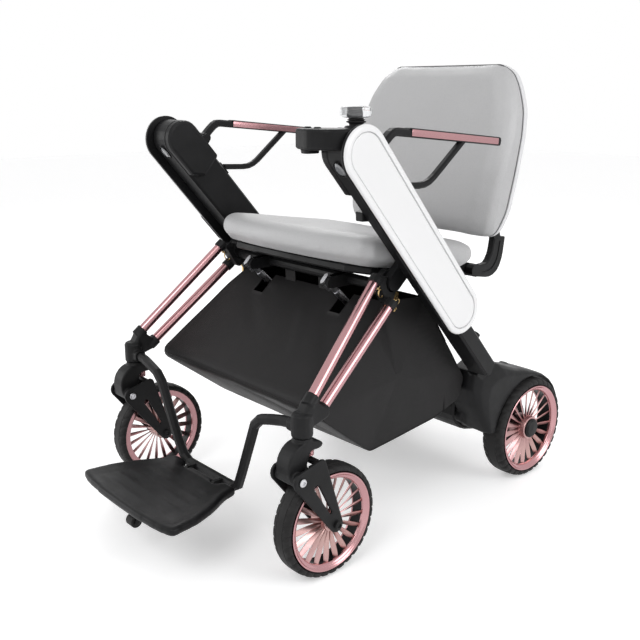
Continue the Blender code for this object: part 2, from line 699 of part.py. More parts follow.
def casters():
    axle = (CASTER_TRAIL, FRONT_WHEEL_RADIUS)
    pivot = (ARM_PIVOT_Y, ARM_PIVOT_Z)
    collar_top = HEAD_BOTTOM - GAP
    crown = lathe("left_crown", [(0.0, 0.0), (0.0, 0.0165), (0.0125, 0.0165), (0.0125, 0.008),
                                 (0.0380, 0.008), (0.0380, 0.0)],
                  (CASTER_X, 0.0, collar_top - 0.0125), UP, 16)
    outline = [(0.031, 0.2500), (0.031, 0.2435), (0.026, SPRING_TOP), (0.003, SPRING_TOP),
               (-0.003, 0.2165), (-0.015, 0.188), (-0.033, 0.188), (-0.0405, 0.205),
               (-0.0420, 0.226), (-0.034, 0.243), (-0.020, 0.2545), (0.0, 0.2575), (0.014, 0.2555)]
    body = prism("body", rounded(outline, 0.005, 1), CASTER_X - CROWN_HALF, CASTER_X + CROWN_HALF)
    bevelled(body, 0.005, 1, 50)
    barrel = cross_rod("barrel", CASTER_X - FORK_HALF + GAP, CASTER_X + FORK_HALF - GAP, pivot, 0.0120)
    pin = cross_rod("pin", CASTER_X - 0.0325, CASTER_X + 0.0325, pivot, 0.0050, 12)
    add(crown, body, barrel, pin)
    both_sides(crown, CAST_BLACK, (CASTER_X, 0.0, 0.0))

    blade = hull((*pivot, 0.0165), (*BRIDGE, 0.0095), (*axle, 0.0140), steps=12)
    arm = None
    for low in (CASTER_X - FORK_HALF - BLADE_THICK, CASTER_X + FORK_HALF):
        plate = prism("left_suspension_arm", blade, low, low + BLADE_THICK)
        slot = hull((pivot[0] + 0.031, pivot[1] - 0.020, 0.0052), (axle[0] - 0.013, axle[1] + 0.026, 0.0022),
                    steps=8)
        cut(plate, prism("slot", slot, low - 0.01, low + 0.02))
        cut(plate, cross_rod("bore", low - 0.01, low + 0.02, pivot, 0.0050 + GAP, 12))
        arm = add(arm, plate) if arm else plate
    reach = FORK_HALF + BLADE_THICK * 0.5
    add(arm, cross_rod("bridge", CASTER_X - reach, CASTER_X + reach, BRIDGE, 0.006, 12))
    add(arm, cross_rod("axle", CASTER_X - reach - 0.0060, CASTER_X + reach + 0.0060, axle, 0.0052, 12))
    both_sides(arm, CAST_BLACK, (CASTER_X, *pivot))

    low = BRIDGE[1] + 0.006 + GAP
    high = SPRING_TOP - GAP
    turns = 2
    step = (high - low) / turns
    profile = [(0.0, 0.0), (0.0, 0.0062)]
    for k in range(turns):
        profile += [(step * (k + 0.25), 0.0076), (step * (k + 0.75), 0.0076)]
        if k + 1 < turns:
            profile.append((step * (k + 1), 0.0060))
    profile += [(high - low, 0.0062), (high - low, 0.0)]
    spring = lathe("left_spring", profile, (CASTER_X, BRIDGE[0], low), UP, 12)
    both_sides(spring, ROSE, (CASTER_X, *pivot))

    tyre, rim = wheel("left_caster", CASTER_X, axle, FRONT_WHEEL_RADIUS, FRONT_TYRE_WIDTH,
                      FRONT_WHEEL_RADIUS - 0.0125, 0.0165, 0.0052 + GAP, 28)
    both_sides(tyre, TYRE, (CASTER_X, *axle))
    both_sides(rim, ROSE, (CASTER_X, *axle))


def drive():
    axle = (WHEELBASE, REAR_WHEEL_RADIUS)
    tyre, rim = wheel("left_drive", REAR_WHEEL_X, axle, REAR_WHEEL_RADIUS, REAR_TYRE_WIDTH,
                      REAR_WHEEL_RADIUS - 0.0135, 0.0245, 0.0100 + GAP, 28)
    both_sides(tyre, TYRE, (REAR_WHEEL_X, *axle))
    both_sides(rim, ROSE, (REAR_WHEEL_X, *axle))
    cap_x = REAR_WHEEL_X + REAR_TYRE_WIDTH * 0.46 + GAP
    cap = lathe("left_hub_cap", [(0.0, 0.0), (0.0, 0.0205), (0.0025, 0.0205), (0.0055, 0.016),
                                 (0.0065, 0.0)], (cap_x, *axle), SIDE, 20)
    both_sides(cap, BLACK, (REAR_WHEEL_X, *axle))

    wheel_in = REAR_WHEEL_X - REAR_TYRE_WIDTH / 2
    inner_x = wheel_in - 0.034
    outer_x = BEAM_OUT - 0.020
    rings = []
    for x, fill in ((inner_x, 0.94), (inner_x + 0.005, 1.0), (outer_x - 0.030, 1.0),
                    (outer_x - 0.014, 0.95), (outer_x - 0.005, 0.80), (outer_x, 0.55)):
        ring = []
        for angle, radius in FENDER_EDGE:
            ring += arc(axle, FENDER_RADIUS + (radius - FENDER_RADIUS) * fill, angle, angle, 0)
        ring += arc(axle, FENDER_RADIUS, FENDER_EDGE[-1][0], FENDER_EDGE[0][0], 11)
        rings.append([(x, *point) for point in ring])
    fender = loft("left_fender", rings)
    rear, front = BEAM_HALF + GAP, -BEAM_FRONT - GAP
    slab = [on_beam(0.3, rear), on_beam(0.3, front), on_beam(BEAM_LENGTH + GAP, front),
            on_beam(BEAM_LENGTH + GAP, BEAM_TAIL + GAP), on_beam(COVER_LENGTH + 0.05, BEAM_TAIL + GAP)]
    cut(fender, prism("slab", slab, BEAM_IN - GAP, BEAM_OUT + 0.05))
    casing = lathe("casing", [(0.0, 0.0), (0.0, 0.040), (0.006, 0.050), (0.030, 0.050),
                              (0.0325, 0.044), (0.0325, 0.0)], (inner_x, *axle), SIDE, 20)
    stub = cross_rod("stub", inner_x + 0.01, cap_x - 0.0015, axle, 0.0100, 20)
    plate = prism("plate", hull((*axle, 0.046), (axle[0] - 0.010, axle[1] + 0.118, 0.014),
                                (axle[0] - 0.140, axle[1] + 0.045, 0.016)), inner_x, inner_x + 0.016)
    add(fender, plate, casing, stub)
    both_sides(fender, BLACK)

    return inner_x


def rear_body(inner_x):
    axle = (WHEELBASE, REAR_WHEEL_RADIUS)
    half = inner_x - GAP
    shape = [(-0.161, 0.150), (-0.131, 0.113), (-0.046, 0.092), (0.009, 0.100), (0.021, 0.150),
             (-0.001, 0.190), (-0.071, DRIVE_TOP), (-0.153, DRIVE_TOP)]
    shape = [(WHEELBASE + py, pz) for py, pz in shape]
    front, back = WHEELBASE - 0.169, WHEELBASE - 0.071
    beam = (WHEELBASE - 0.191, 0.222)
    housing = prism("rear_drive_housing", rounded(shape, 0.018), -half, half)
    bevelled(housing, 0.004, 1, 50)
    pocket = [(-0.105, front), (0.105, front), (0.105, back), (-0.105, back)]
    cut(housing, prism("pocket", rounded(pocket, 0.012), 0.160, 0.300, "Z"))
    bar = cross_rod("bar", -half + 0.012, half - 0.012, beam, 0.014, 14)
    add(housing, bar)
    for side in (1, -1):
        low, high = sorted((side * (half - 0.028), side * (half - 0.012)))
        link = hull((*beam, 0.013), (beam[0] + 0.060, 0.180, 0.022))
        add(housing, prism("link", link, low, high))
        for start in (STRUT_X - 0.0175, STRUT_X + 0.0125):
            low, high = sorted((side * start, side * (start + 0.005)))
            add(housing, prism("lug", hull((*STRUT_FOOT, 0.0105), (*beam, 0.0125)), low, high))
        low, high = sorted((side * (STRUT_X - 0.015), side * (STRUT_X + 0.015)))
        add(housing, cross_rod("pin", low, high, STRUT_FOOT, 0.0045, 12))
    place(housing, CAST_BLACK)

    front, back = front + 0.0015, back - 0.0015
    case = [(-0.1035, front), (0.1035, front), (0.1035, back), (-0.1035, back)]
    battery = prism("battery_pack", rounded(case, 0.011), 0.160 + GAP, DRIVE_TOP + 0.004, "Z")
    bevelled(battery, 0.003, 1, 50)
    across = (front + back) / 2
    handle = rounded([(-0.035, across, DRIVE_TOP + 0.002), (-0.030, across, DRIVE_TOP + 0.014),
                      (0.030, across, DRIVE_TOP + 0.014), (0.035, across, DRIVE_TOP + 0.002)],
                     0.008, 1, closed=False)
    add(battery, sweep("handle", handle, box_section(0.010, 0.004, 0.0012), (0, 1, 0)))
    place(battery, BLACK)


def struts():
    foot, top = Vector((STRUT_X, *STRUT_FOOT)), Vector((STRUT_X, *STRUT_TOP))
    run = (top - foot).normalized()
    span = (top - foot).length
    tube = rod("left_strut_tube", foot + run * 0.016, foot + run * 0.205, STRUT_RADIUS, 16)
    eye = sleeve("eye", STRUT_X - 0.0117, STRUT_X + 0.0117, STRUT_FOOT, 0.0115, 0.0045 + GAP)
    neck = sweep("neck", [foot + run * 0.008, foot + run * 0.030],
                 box_section(0.016, 0.014, 0.003), SIDE)
    cut(neck, cross_rod("clear", STRUT_X - 0.02, STRUT_X + 0.02, STRUT_FOOT, 0.008))
    add(tube, neck, eye)
    cut(tube, rod("bore", foot + run * 0.034, foot + run * 0.260, ROD_RADIUS + GAP, 16))
    both_sides(tube, CAST_BLACK, tuple(foot))

    bar = rod("left_strut_rod", foot + run * 0.078, foot + run * (span - 0.028), ROD_RADIUS, 16)
    neck = sweep("neck", [foot + run * (span - 0.036), foot + run * (span - 0.010)],
                 box_section(0.0080, 0.0116, 0.003), SIDE)
    head = sweep("head", [foot + run * (span - 0.014), foot + run * (span + 0.013)],
                 box_section(0.0090, 0.0240, 0.005), SIDE)
    add(bar, neck, head)
    sway = Vector((0.0, -run.z, run.y)) * EYE_SWAY
    near, far = top - sway, top + sway
    slot = hull((near.y, near.z, STRUT_PIN + EYE_PLAY), (far.y, far.z, STRUT_PIN + EYE_PLAY))
    cut(bar, prism("slot", slot, STRUT_X - 0.02, STRUT_X + 0.02))
    both_sides(bar, STEEL, tuple(foot))


def seat():
    y, z = SEAT_AXIS
    half = SEAT_HALF - 0.018
    wide = BEAM_IN - 0.008 - GAP - 0.003
    right = [(0.0, SEAT_FRONT + 0.022), (half * 0.93, SEAT_FRONT + 0.032), (half, y - 0.050),
             (wide, y - 0.030), (wide, y + 0.040), (half, SEAT_REAR - 0.012)]
    outline = right + [(-px, py) for px, py in right[:0:-1]]
    outline = rounded(outline, [0.02, 0.03, 0.006, 0.006, 0.01, 0.02, 0.02, 0.01, 0.006, 0.006, 0.03], 1)
    pan = prism("seat_pan", outline, PAN_BOTTOM, PAN_TOP, "Z")
    bevelled(pan, 0.003, 1, 50)
    for k in range(2):
        x = (k - 0.5) * 0.130
        low = PAN_BOTTOM - 0.006
        rail = [(x + a, low + 0.004 + b) for a, b in box_section(0.010, 0.010, 0.002)]
        add(pan, prism("rail", rail, 0.265, SEAT_REAR - 0.030, "Y"))
    tilted(pan)
    for side in (1, -1):
        low, high = sorted((side * (BEAM_IN - 0.008 - GAP - 0.011), side * (BEAM_IN - 0.008 - GAP)))
        ear = prism("ear", hull((y, z, 0.0135), (y - 0.02, under_pan(y - 0.02) + 0.003, 0.004),
                                (y + 0.02, under_pan(y + 0.02) + 0.003, 0.004)), low, high)
        add(pan, ear)
        cut(pan, cross_rod("bore", *sorted((side * 0.19, side * 0.24)), SEAT_AXIS, 0.006 + GAP, 12))
        low, high = sorted((side * 0.144, side * 0.156))
        rear = SEAT_REAR - 0.030
        hinge = hull((*BACK_PIVOT, 0.0135), (rear, under_pan(rear) + 0.005, 0.0055))
        add(pan, prism("hinge", hinge, low, high))
        cut(pan, cross_rod("bore", low - 0.01, high + 0.01, BACK_PIVOT, 0.009 + GAP, 16))
    place(pan, CAST_BLACK, (0.0, *SEAT_AXIS))

    def ring(level, inset, lift=0.0):
        wide, front, back = SEAT_HALF - inset, SEAT_FRONT + inset, SEAT_REAR - inset
        side = [(wide * 0.995, back - 0.05), (wide, 0.30), (wide, 0.215),
                (wide * 0.965, front + 0.024), (wide * 0.45, front + 0.002), (0.0, front - 0.006)]
        left = [(-px, py) for px, py in side[-2::-1]]
        points = [(0.0, back), (wide * 0.5, back), (wide * 0.93, back - 0.006)] + side + left
        points += [(-wide * 0.93, back - 0.006), (-wide * 0.5, back)]
        curve = rounded(points, 0.016, 1)
        return [(px, py, level + lift * (1.0 - (px / wide) ** 2) * 0.5) for px, py in curve]

    low, top = PAN_TOP + GAP, CUSHION_TOP
    rings = [ring(low, 0.0200), ring(low + 0.007, 0.0150), ring(low + 0.016, 0.004),
             ring(low + 0.024, 0.0), ring(top - 0.016, 0.0), ring(top - 0.006, 0.005),
             ring(top, 0.018)]
    cushion = tilted(loft("seat_cushion", rings))
    place(cushion, LEATHER, (0.0, *SEAT_AXIS))


def back_line(height):
    """Half width, front and rear of the back at a height."""
    levels = ((BACK_BOTTOM, 0.199, 0.533, 0.592), (0.560, 0.208, 0.538, 0.614),
              (0.640, 0.212, 0.555, 0.631), (0.711, 0.2145, 0.574, 0.643),
              (0.760, 0.209, 0.587, 0.652), (0.805, 0.191, 0.602, 0.659),
              (0.835, 0.172, 0.616, 0.663), (BACK_TOP, 0.153, 0.626, 0.662))
    for low, high in zip(levels, levels[1:]):
        if height <= high[0] + 1e-9:
            t = (height - low[0]) / (high[0] - low[0])
            return [a + (b - a) * t for a, b in zip(low[1:], high[1:])]
    return list(levels[-1][1:])


def backrest():
    heights = (BACK_BOTTOM, BACK_BOTTOM + 0.008, 0.540, 0.580, 0.640, 0.700, 0.745, 0.785, 0.820,
               BACK_TOP - 0.008, BACK_TOP)
    insets = (0.012, 0.003, 0.0, 0.0, 0.0, 0.0, 0.0, 0.0, 0.0, 0.004, 0.016)
    shell_rings, cushion_rings = [], []
    for height, inset in zip(heights, insets):
        half, front, rear = back_line(height)
        seam = rear - 0.020 - inset * 0.3
        half -= inset
        rear -= inset * 0.6
        front += inset * 0.8
        shell = [(-half, seam), (half, seam), (half, rear - 0.006), (half * 0.80, rear),
                 (half * 0.3, rear + 0.004), (-half * 0.3, rear + 0.004), (-half * 0.80, rear),
                 (-half, rear - 0.006)]
        shell = rounded(shell, [0.001, 0.001, 0.008, 0.03, 0.04, 0.04, 0.03, 0.008], 1)
        shell_rings.append([(px, py, height) for px, py in shell])
        wide = half - 0.0015
        lead = [(wide, seam - GAP), (-wide, seam - GAP), (-wide, front + 0.014),
                (-wide * 0.86, front + 0.001), (-wide * 0.4, front + 0.006),
                (wide * 0.4, front + 0.006), (wide * 0.86, front + 0.001), (wide, front + 0.014)]
        lead = rounded(lead, [0.001, 0.001, 0.010, 0.02, 0.04, 0.04, 0.02, 0.010], 1)
        cushion_rings.append([(px, py, height) for px, py in lead])
    shell = loft("backrest_shell", shell_rings)
    cushion = loft("backrest_cushion", cushion_rings)
    pivot = (0.0, *BACK_PIVOT)
    place(cushion, LEATHER, pivot)

    inner = [(0.5400, 0.4540), (0.5760, 0.4550), (0.5900, 0.4720), (0.5960, 0.5050)]
    outer = [(0.6320, 0.5050), (0.6260, 0.4600), (0.6110, 0.4330), (0.5860, 0.4240), (0.5360, 0.4330)]
    outline = rounded(inner + outer, [0.004, 0.008, 0.012, 0.002, 0.002, 0.014, 0.016, 0.016, 0.004], 2)
    bracket = None
    for side in (1, -1):
        low, high = sorted((side * 0.162, side * 0.178))
        hook = prism("back_bracket", outline, low, high)
        bevelled(hook, 0.002, 1, 60)
        groove = rounded([(0.560, 0.4400), (0.590, 0.4420), (0.606, 0.4600), (0.613, 0.498)], 0.012, 2,
                         closed=False)
        path = [(side * 0.178, gy, gz) for gy, gz in groove]
        cut(hook, sweep("groove", path, box_section(0.003, 0.005, 0.0), SIDE))
        add(hook, cross_rod("knuckle", low, high, BACK_PIVOT, 0.0135))
        bracket = add(bracket, hook) if bracket else hook
    add(bracket, cross_rod("bar", -0.170, 0.170, BACK_PIVOT, 0.009, 16))
    tongue = rounded([(0.5965, 0.496), (0.6200, 0.496), (0.6030, 0.545), (0.5900, 0.545)], 0.002, 1)
    for side in (1, -1):
        low, high = sorted((side * 0.1635, side * 0.1765))
        add(bracket, prism("tongue", tongue, low, high))
        cut(shell, prism("pocket", offset(tongue, GAP * 1.5), low - GAP * 1.5, high + GAP * 1.5))
    place(bracket, CAST_BLACK, pivot)
    place(shell, SHELL_WHITE, pivot)


def armrests():
    y, z = ARM_AXIS
    start, end = (y + 0.032, z + 0.0285), (0.492, 0.7060)
    path = rounded([(ARM_X, y, z), (ARM_X, y + 0.016, z + 0.016), (ARM_X, *start), (ARM_X, *end)],
                   0.008, 2, closed=False)
    body = sweep("left_armrest_frame", path, box_section(ARM_WIDTH, ARM_HEIGHT, 0.003), SIDE)
    half = ARM_WIDTH / 2 + 0.0006
    eye = cross_rod("eye", ARM_X - half, ARM_X + half, ARM_AXIS, 0.0100)
    drop = Vector((0.0, end[0] - start[0], end[1] - start[1])).normalized()
    strut = rounded([(ARM_X, 0.393, 0.7145), (ARM_X, 0.298, 0.6400), (ARM_X, 0.2265, 0.6435)],
                    0.022, 3, closed=False)
    add(body, eye, sweep("strut", strut, box_section(0.013, 0.011, 0.003), SIDE))
    rest_n = BEAM_HALF + 0.0004
    foot = Vector((ARM_X, 0.2265, 0.6435))
    along = (foot - Vector((0.0, *BEAM_TOP))).dot(DOWN)
    pad = [(ARM_X, *on_beam(along - 0.014, rest_n + 0.0025)), (ARM_X, *on_beam(along + 0.014, rest_n + 0.0025))]
    add(body, sweep("pad", pad, box_section(0.015, 0.005, 0.002), SIDE))
    cut(body, cross_rod("bore", ARM_X - 0.02, ARM_X + 0.02, ARM_AXIS, 0.0035 + GAP, 12))

    span = [Vector((ARM_X, at, start[1] + (at - start[0]) * drop.z / drop.y))
            for at in (start[0] + 0.038, end[0] - 0.0008)]
    wide, tall = ARM_WIDTH / 2, ARM_HEIGHT / 2
    notch = [(wide - 0.0022, -tall + 0.0018), (wide + 0.01, -tall + 0.0018),
             (wide + 0.01, tall + 0.01), (-wide - 0.01, tall + 0.01), (-wide - 0.01, -tall + 0.0018),
             (-wide + 0.0022, -tall + 0.0018), (-wide + 0.0022, tall - 0.0022),
             (wide - 0.0022, tall - 0.0022)]
    sign = 1.0 if drop.cross(SIDE).z > 0 else -1.0
    reach = [span[0], span[1] + drop * 0.01]
    cutter = sweep("notch", reach, [(a, b * sign) for a, b in notch], SIDE)
    cut(body, cutter)
    both_sides(body, BLACK, (ARM_X, *ARM_AXIS))
    wrap = [(wide - 0.0022 + GAP, -tall + 0.0022), (wide + 0.0006, -tall + 0.0022),
            (wide + 0.0006, tall - 0.0010), (wide - 0.0012, tall + 0.0008),
            (-wide + 0.0012, tall + 0.0008), (-wide - 0.0006, tall - 0.0010),
            (-wide - 0.0006, -tall + 0.0022), (-wide + 0.0022 - GAP, -tall + 0.0022),
            (-wide + 0.0022 - GAP, tall - 0.0022 + GAP), (wide - 0.0022 + GAP, tall - 0.0022 + GAP)]
    ends = [span[0] + drop * GAP, span[1] - drop * GAP]
    inlay = sweep("left_armrest_inlay", ends, [(a, b * sign) for a, b in wrap], SIDE)
    both_sides(inlay, ROSE, (ARM_X, *ARM_AXIS))


def latches():
    y, z = FRAME_AXIS
    pivot = (y + 0.0137, z - 0.0376)
    inner = BEAM_IN - 0.0115 - GAP
    plate = hull((*pivot, 0.0065), (pivot[0] + 0.004, pivot[1] + 0.012, 0.0045))
    body = prism("left_latch", plate, inner - 0.0025, inner + 0.0025)
    tail = hull((*pivot, 0.005), (pivot[0] - 0.001, pivot[1] - 0.017, 0.0028))
    add(body, prism("tail", tail, inner - 0.0025, inner + 0.0025))
    cut(body, cross_rod("bore", inner - 0.01, inner + 0.01, pivot, 0.003 + GAP, 12))
    both_sides(body, BRASS, (inner, *pivot))


def bag():
    rear = WHEELBASE - 0.176
    outline = ((0.243, 0.434, 0.202), (0.205, 0.402, 0.219), (0.058, 0.284, 0.2475),
               (0.060, 0.266, 0.2475), (0.194, 0.164, 0.226), (0.262, 0.172, 0.227),
               (rear - 0.083, 0.185, 0.228), (rear - 0.015, 0.206, 0.2285), (rear, 0.250, 0.2285),
               (0.338, 0.430, 0.218))
    middle = (0.26, 0.29)
    middle_x = 0.231

    def rings(shrink, lift):
        found = []
        for side in (1, -1):
            ring = []
            for py, pz, px in outline:
                reach = Vector((py - middle[0], pz - middle[1]))
                at = Vector(middle) + reach * (1.0 - shrink / reach.length)
                ring.append((side * (px - shrink), *at))
            if lift:
                ring.insert(0, (ring[0][0], ring[0][1], ring[0][2] + lift))
                ring.append((ring[-1][0], ring[-1][1], ring[-1][2] + lift))
            found.append(ring)
        near = [(middle_x - shrink, *middle)] * len(found[0])
        far = [(-middle_x + shrink, *middle)] * len(found[0])
        return [near] + found + [far]

    body, hollow = loft("bag", rings(0.0, 0.0)), loft("hollow", rings(0.0030, 0.03))
    for piece, wall in ((body, 0.0), (hollow, 0.003)):
        back = rear - 0.050 - wall
        block = [(-0.196 - wall, back), (0.196 + wall, back), (0.196 + wall, 0.5), (-0.196 - wall, 0.5)]
        cut(piece, prism("block", block, 0.10, 0.50, "Z"))
    cut(body, hollow)
    foot, top = Vector(STRUT_FOOT), Vector(STRUT_TOP)
    run = (top - foot).normalized()
    for side in (1, -1):
        low, high = sorted((side * (STRUT_X - 0.022), side * (STRUT_X + 0.022)))
        path = hull((*(foot - run * 0.02), 0.026), (*(foot + run * 0.16), 0.018))
        cut(body, prism("slit", path, low, high))
        path = hull((*(top - run * 0.09), 0.018), (*(top + run * 0.02), 0.034))
        cut(body, prism("slit", path, low, high))
    hem, tube_z = outline[0], FRAME_AXIS[1] - CROSS_TUBE_DROP - CROSS_TUBE_RADIUS
    for x in (-0.065, 0.035):
        strap = [(hem[0] - 0.0030, hem[1] - 0.006), (hem[0], hem[1] - 0.006),
                 (FRAME_AXIS[0] + 0.0015, tube_z - GAP), (FRAME_AXIS[0] - 0.0015, tube_z - GAP)]
        add(body, prism("strap", strap, x, x + 0.030))
    place(body, FABRIC, (0.0, *FRAME_AXIS))


def controls():
    x, y = STICK
    low = POD_BOTTOM
    pod = loft("joystick_pod", [[(*point, level) for point in pod_outline(grow)] for level, grow in
                                ((low, -0.003), (low + 0.003, 0.0), (POD_TOP - 0.0025, 0.0),
                                 (POD_TOP, -0.003))])
    step = rounded([(0.192, 0.060), (0.212, 0.058), (0.214, 0.086), (0.196, 0.086)], 0.006)
    add(pod, prism("step", step, low - 0.007, low + 0.004, "Z"))
    add(pod, lathe("flare", [(0.0, 0.0), (0.0, 0.0184), (0.0110, 0.0184), (0.0145, 0.0176), (0.0145, 0.0)],
                   (x, y, POD_TOP - 0.010), UP, 22))
    cut(pod, lathe("well", [(0.0, 0.0), (0.0, 0.0155), (0.040, 0.0155), (0.040, 0.0)],
                   (x, y, POD_TOP - 0.0130), UP, 20))
    for bx in (0.203, 0.226):
        cut(pod, rod("button_bore", (bx, 0.068, POD_TOP - 0.006), (bx, 0.068, POD_TOP + 0.02),
                     0.0060 + GAP, 14))
    place(pod, BLACK)

    pivot_z = POD_TOP
    ball = [(BALL_RADIUS * math.sin(math.radians(t)), BALL_RADIUS * math.cos(math.radians(t)))
            for t in (-50, -30, -10, 10, 28)]
    boot = lathe("joystick_boot",
                 [(ball[0][0], 0.0)] + ball + [(0.0095, 0.0155), (0.0110, 0.0152), (0.0120, 0.0118),
                                               (0.0134, 0.0138), (0.0146, 0.0112), (0.0160, 0.0122),
                                               (0.0160, 0.0)], (x, y, pivot_z), UP, 16)
    place(boot, TYRE, (x, y, pivot_z))
    ring = lathe("stick_gimbal", [(-0.0015, BALL_RADIUS + 0.0005), (-0.0015, 0.0150),
                                  (0.0015, 0.0150), (0.0015, BALL_RADIUS + 0.0005)],
                 (x, y, pivot_z), UP, 16)
    place(ring, STEEL, (x, y, pivot_z))
    base = pivot_z + 0.0160 + GAP
    rings = []
    for level, radius, wave in ((0.0, 0.0150, 0.0), (0.0012, 0.0210, 0.0008), (0.0045, 0.0243, 0.0011),
                                (0.0140, 0.0243, 0.0011), (0.0172, 0.0212, 0.0008), (0.0180, 0.0115, 0.0)):
        ring = []
        for k in range(24):
            angle = 2 * math.pi * k / 24
            reach = radius + wave * math.cos(6 * angle)
            ring.append((x + reach * math.cos(angle), y + reach * math.sin(angle), base + level))
        rings.append(ring)
    place(loft("joystick_knob", rings), CLEAR, (x, y, pivot_z))
    for name, bx in (("power_button", 0.203), ("horn_button", 0.226)):
        button = lathe(name, [(0.0, 0.0), (0.0, 0.0060), (0.0055, 0.0060), (0.0068, 0.0046),
                              (0.0070, 0.0)], (bx, 0.068, POD_TOP - 0.0040), UP, 14)
        place(button, CAST_BLACK, (bx, 0.068, POD_TOP))


side_beams()
side_covers()
footrest(front_frame())
casters()
rear_body(drive())
struts()
seat()
backrest()
armrests()
latches()
bag()
controls()
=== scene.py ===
"""Looks of the folding electric wheelchair, in metres: +X is its left, -Y ahead and +Z up."""

import json
from math import atan2, copysign, cos, exp, pi, radians, sin, sqrt

import bmesh
import bpy
import numpy as np
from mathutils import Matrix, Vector, kdtree, noise


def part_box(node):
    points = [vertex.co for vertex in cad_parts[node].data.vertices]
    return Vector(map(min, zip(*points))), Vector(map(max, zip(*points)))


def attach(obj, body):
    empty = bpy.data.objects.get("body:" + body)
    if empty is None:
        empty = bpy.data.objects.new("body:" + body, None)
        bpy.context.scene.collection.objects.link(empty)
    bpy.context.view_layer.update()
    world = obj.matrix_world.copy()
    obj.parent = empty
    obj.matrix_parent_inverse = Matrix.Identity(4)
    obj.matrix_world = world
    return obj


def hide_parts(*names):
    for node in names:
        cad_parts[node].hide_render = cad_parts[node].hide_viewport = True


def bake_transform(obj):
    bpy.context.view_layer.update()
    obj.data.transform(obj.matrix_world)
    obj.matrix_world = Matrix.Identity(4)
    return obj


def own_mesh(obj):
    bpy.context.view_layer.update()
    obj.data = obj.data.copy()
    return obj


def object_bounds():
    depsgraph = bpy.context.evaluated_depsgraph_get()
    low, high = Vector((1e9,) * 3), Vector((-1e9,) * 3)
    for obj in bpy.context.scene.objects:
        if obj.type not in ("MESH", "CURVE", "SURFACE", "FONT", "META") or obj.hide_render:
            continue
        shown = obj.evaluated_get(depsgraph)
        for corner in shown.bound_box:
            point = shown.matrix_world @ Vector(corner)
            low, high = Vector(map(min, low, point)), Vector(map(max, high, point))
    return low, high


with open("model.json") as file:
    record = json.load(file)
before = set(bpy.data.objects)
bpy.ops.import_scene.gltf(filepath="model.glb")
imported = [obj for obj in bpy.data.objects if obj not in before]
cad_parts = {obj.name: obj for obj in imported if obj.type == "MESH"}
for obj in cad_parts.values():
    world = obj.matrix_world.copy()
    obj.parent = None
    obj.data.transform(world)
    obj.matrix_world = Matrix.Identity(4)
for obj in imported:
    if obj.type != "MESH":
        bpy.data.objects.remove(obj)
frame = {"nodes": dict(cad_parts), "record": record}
SCENE = bpy.context.scene
NODES = frame["nodes"]
CAD_BOX = [list(corner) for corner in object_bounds()]
MIDDLE = 0.2713  # how far the origin lies behind the caster swivels
SIDES = (("left", 1), ("right", -1))


def at(x, y, z):
    """A point given with y rearwards from the caster swivels."""
    return Vector((x, y - MIDDLE, z))


def around(count):
    """The even angles of a full turn."""
    return [2 * pi * k / count for k in range(count)]


def slot_of(node):
    """The material slot of a CAD node in the record."""
    return next(p["material_slot"] for p in frame["record"]["subparts"] if p["node"] == node)


def body_of(node):
    """The moving body that carries a CAD node."""
    bodies = frame["record"]["behaviour"]["bodies"]
    return next(name for name, nodes in bodies.items() if node in nodes)


def dressed(piece, body, node=None):
    """Gives a piece its body, and hides the CAD node that it stands for."""
    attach(piece, body)
    if node:
        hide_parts(node)
    return piece


# Materials

class Shade:
    """A material whose colour, roughness and relief come from textures in object coordinates."""

    def __init__(self, name, color, rough, metal=0.0, **sockets):
        self.name = name
        self.mat = bpy.data.materials.new(name)
        self.mat.use_nodes = True
        self.tree = self.mat.node_tree
        self.bsdf = self.tree.nodes["Principled BSDF"]
        plain = {"Base Color": (*color, 1.0), "Roughness": rough, "Metallic": metal}
        for socket, value in {**plain, **sockets}.items():
            self.bsdf.inputs[socket.replace("_", " ")].default_value = value
        self.mat.diffuse_color = (*color, 1.0)
        self.where = self.add("ShaderNodeTexCoord").outputs["Object"]
        self.relief = None

    def feed(self, socket, value):
        """Links a socket to another one, or sets its value."""
        if isinstance(value, bpy.types.NodeSocket):
            self.tree.links.new(value, socket)
        else:
            socket.default_value = value

    def add(self, kind, **inputs):
        node = self.tree.nodes.new(kind)
        for key, value in inputs.items():
            self.feed(node.inputs[key.replace("_", " ")], value)
        return node

    def noise(self, scale, detail):
        node = self.add("ShaderNodeTexNoise", Vector=self.where, Scale=scale, Detail=detail,
                        Roughness=0.55)
        return node.outputs["Fac"]

    def cells(self, scale):
        """How far a point lies from the edge of its cell."""
        node = self.add("ShaderNodeTexVoronoi", Vector=self.where, Scale=scale)
        node.feature = "DISTANCE_TO_EDGE"
        return node.outputs["Distance"]

    def wave(self, scale, vector, direction):
        node = self.add("ShaderNodeTexWave", Vector=vector, Scale=scale, Distortion=0.0, Detail=0.0)
        node.bands_direction = direction
        return node.outputs["Fac"]

    def range(self, value, low, high, to_low=0.0, to_high=1.0):
        """Stretches the values between low and high to a new range."""
        node = self.add("ShaderNodeMapRange", Value=value, From_Min=low, From_Max=high,
                        To_Min=to_low, To_Max=to_high)
        return node.outputs[0]

    def mix(self, fac, a, b):
        node = self.tree.nodes.new("ShaderNodeMix")
        node.data_type = "RGBA"
        for index, value in ((0, fac), (6, a), (7, b)):
            self.feed(node.inputs[index], (*value, 1.0) if isinstance(value, tuple) else value)
        return node.outputs[2]

    def colour(self, socket):
        self.tree.links.new(socket, self.bsdf.inputs["Base Color"])

    def rough(self, socket):
        self.tree.links.new(socket, self.bsdf.inputs["Roughness"])

    def bump(self, height, distance, strength=1.0):
        """Adds one more relief on top of those before it."""
        node = self.add("ShaderNodeBump", Height=height, Distance=distance, Strength=strength)
        if self.relief:
            self.tree.links.new(self.relief, node.inputs["Normal"])
        self.relief = node.outputs[0]
        self.tree.links.new(self.relief, self.bsdf.inputs["Normal"])
        return self


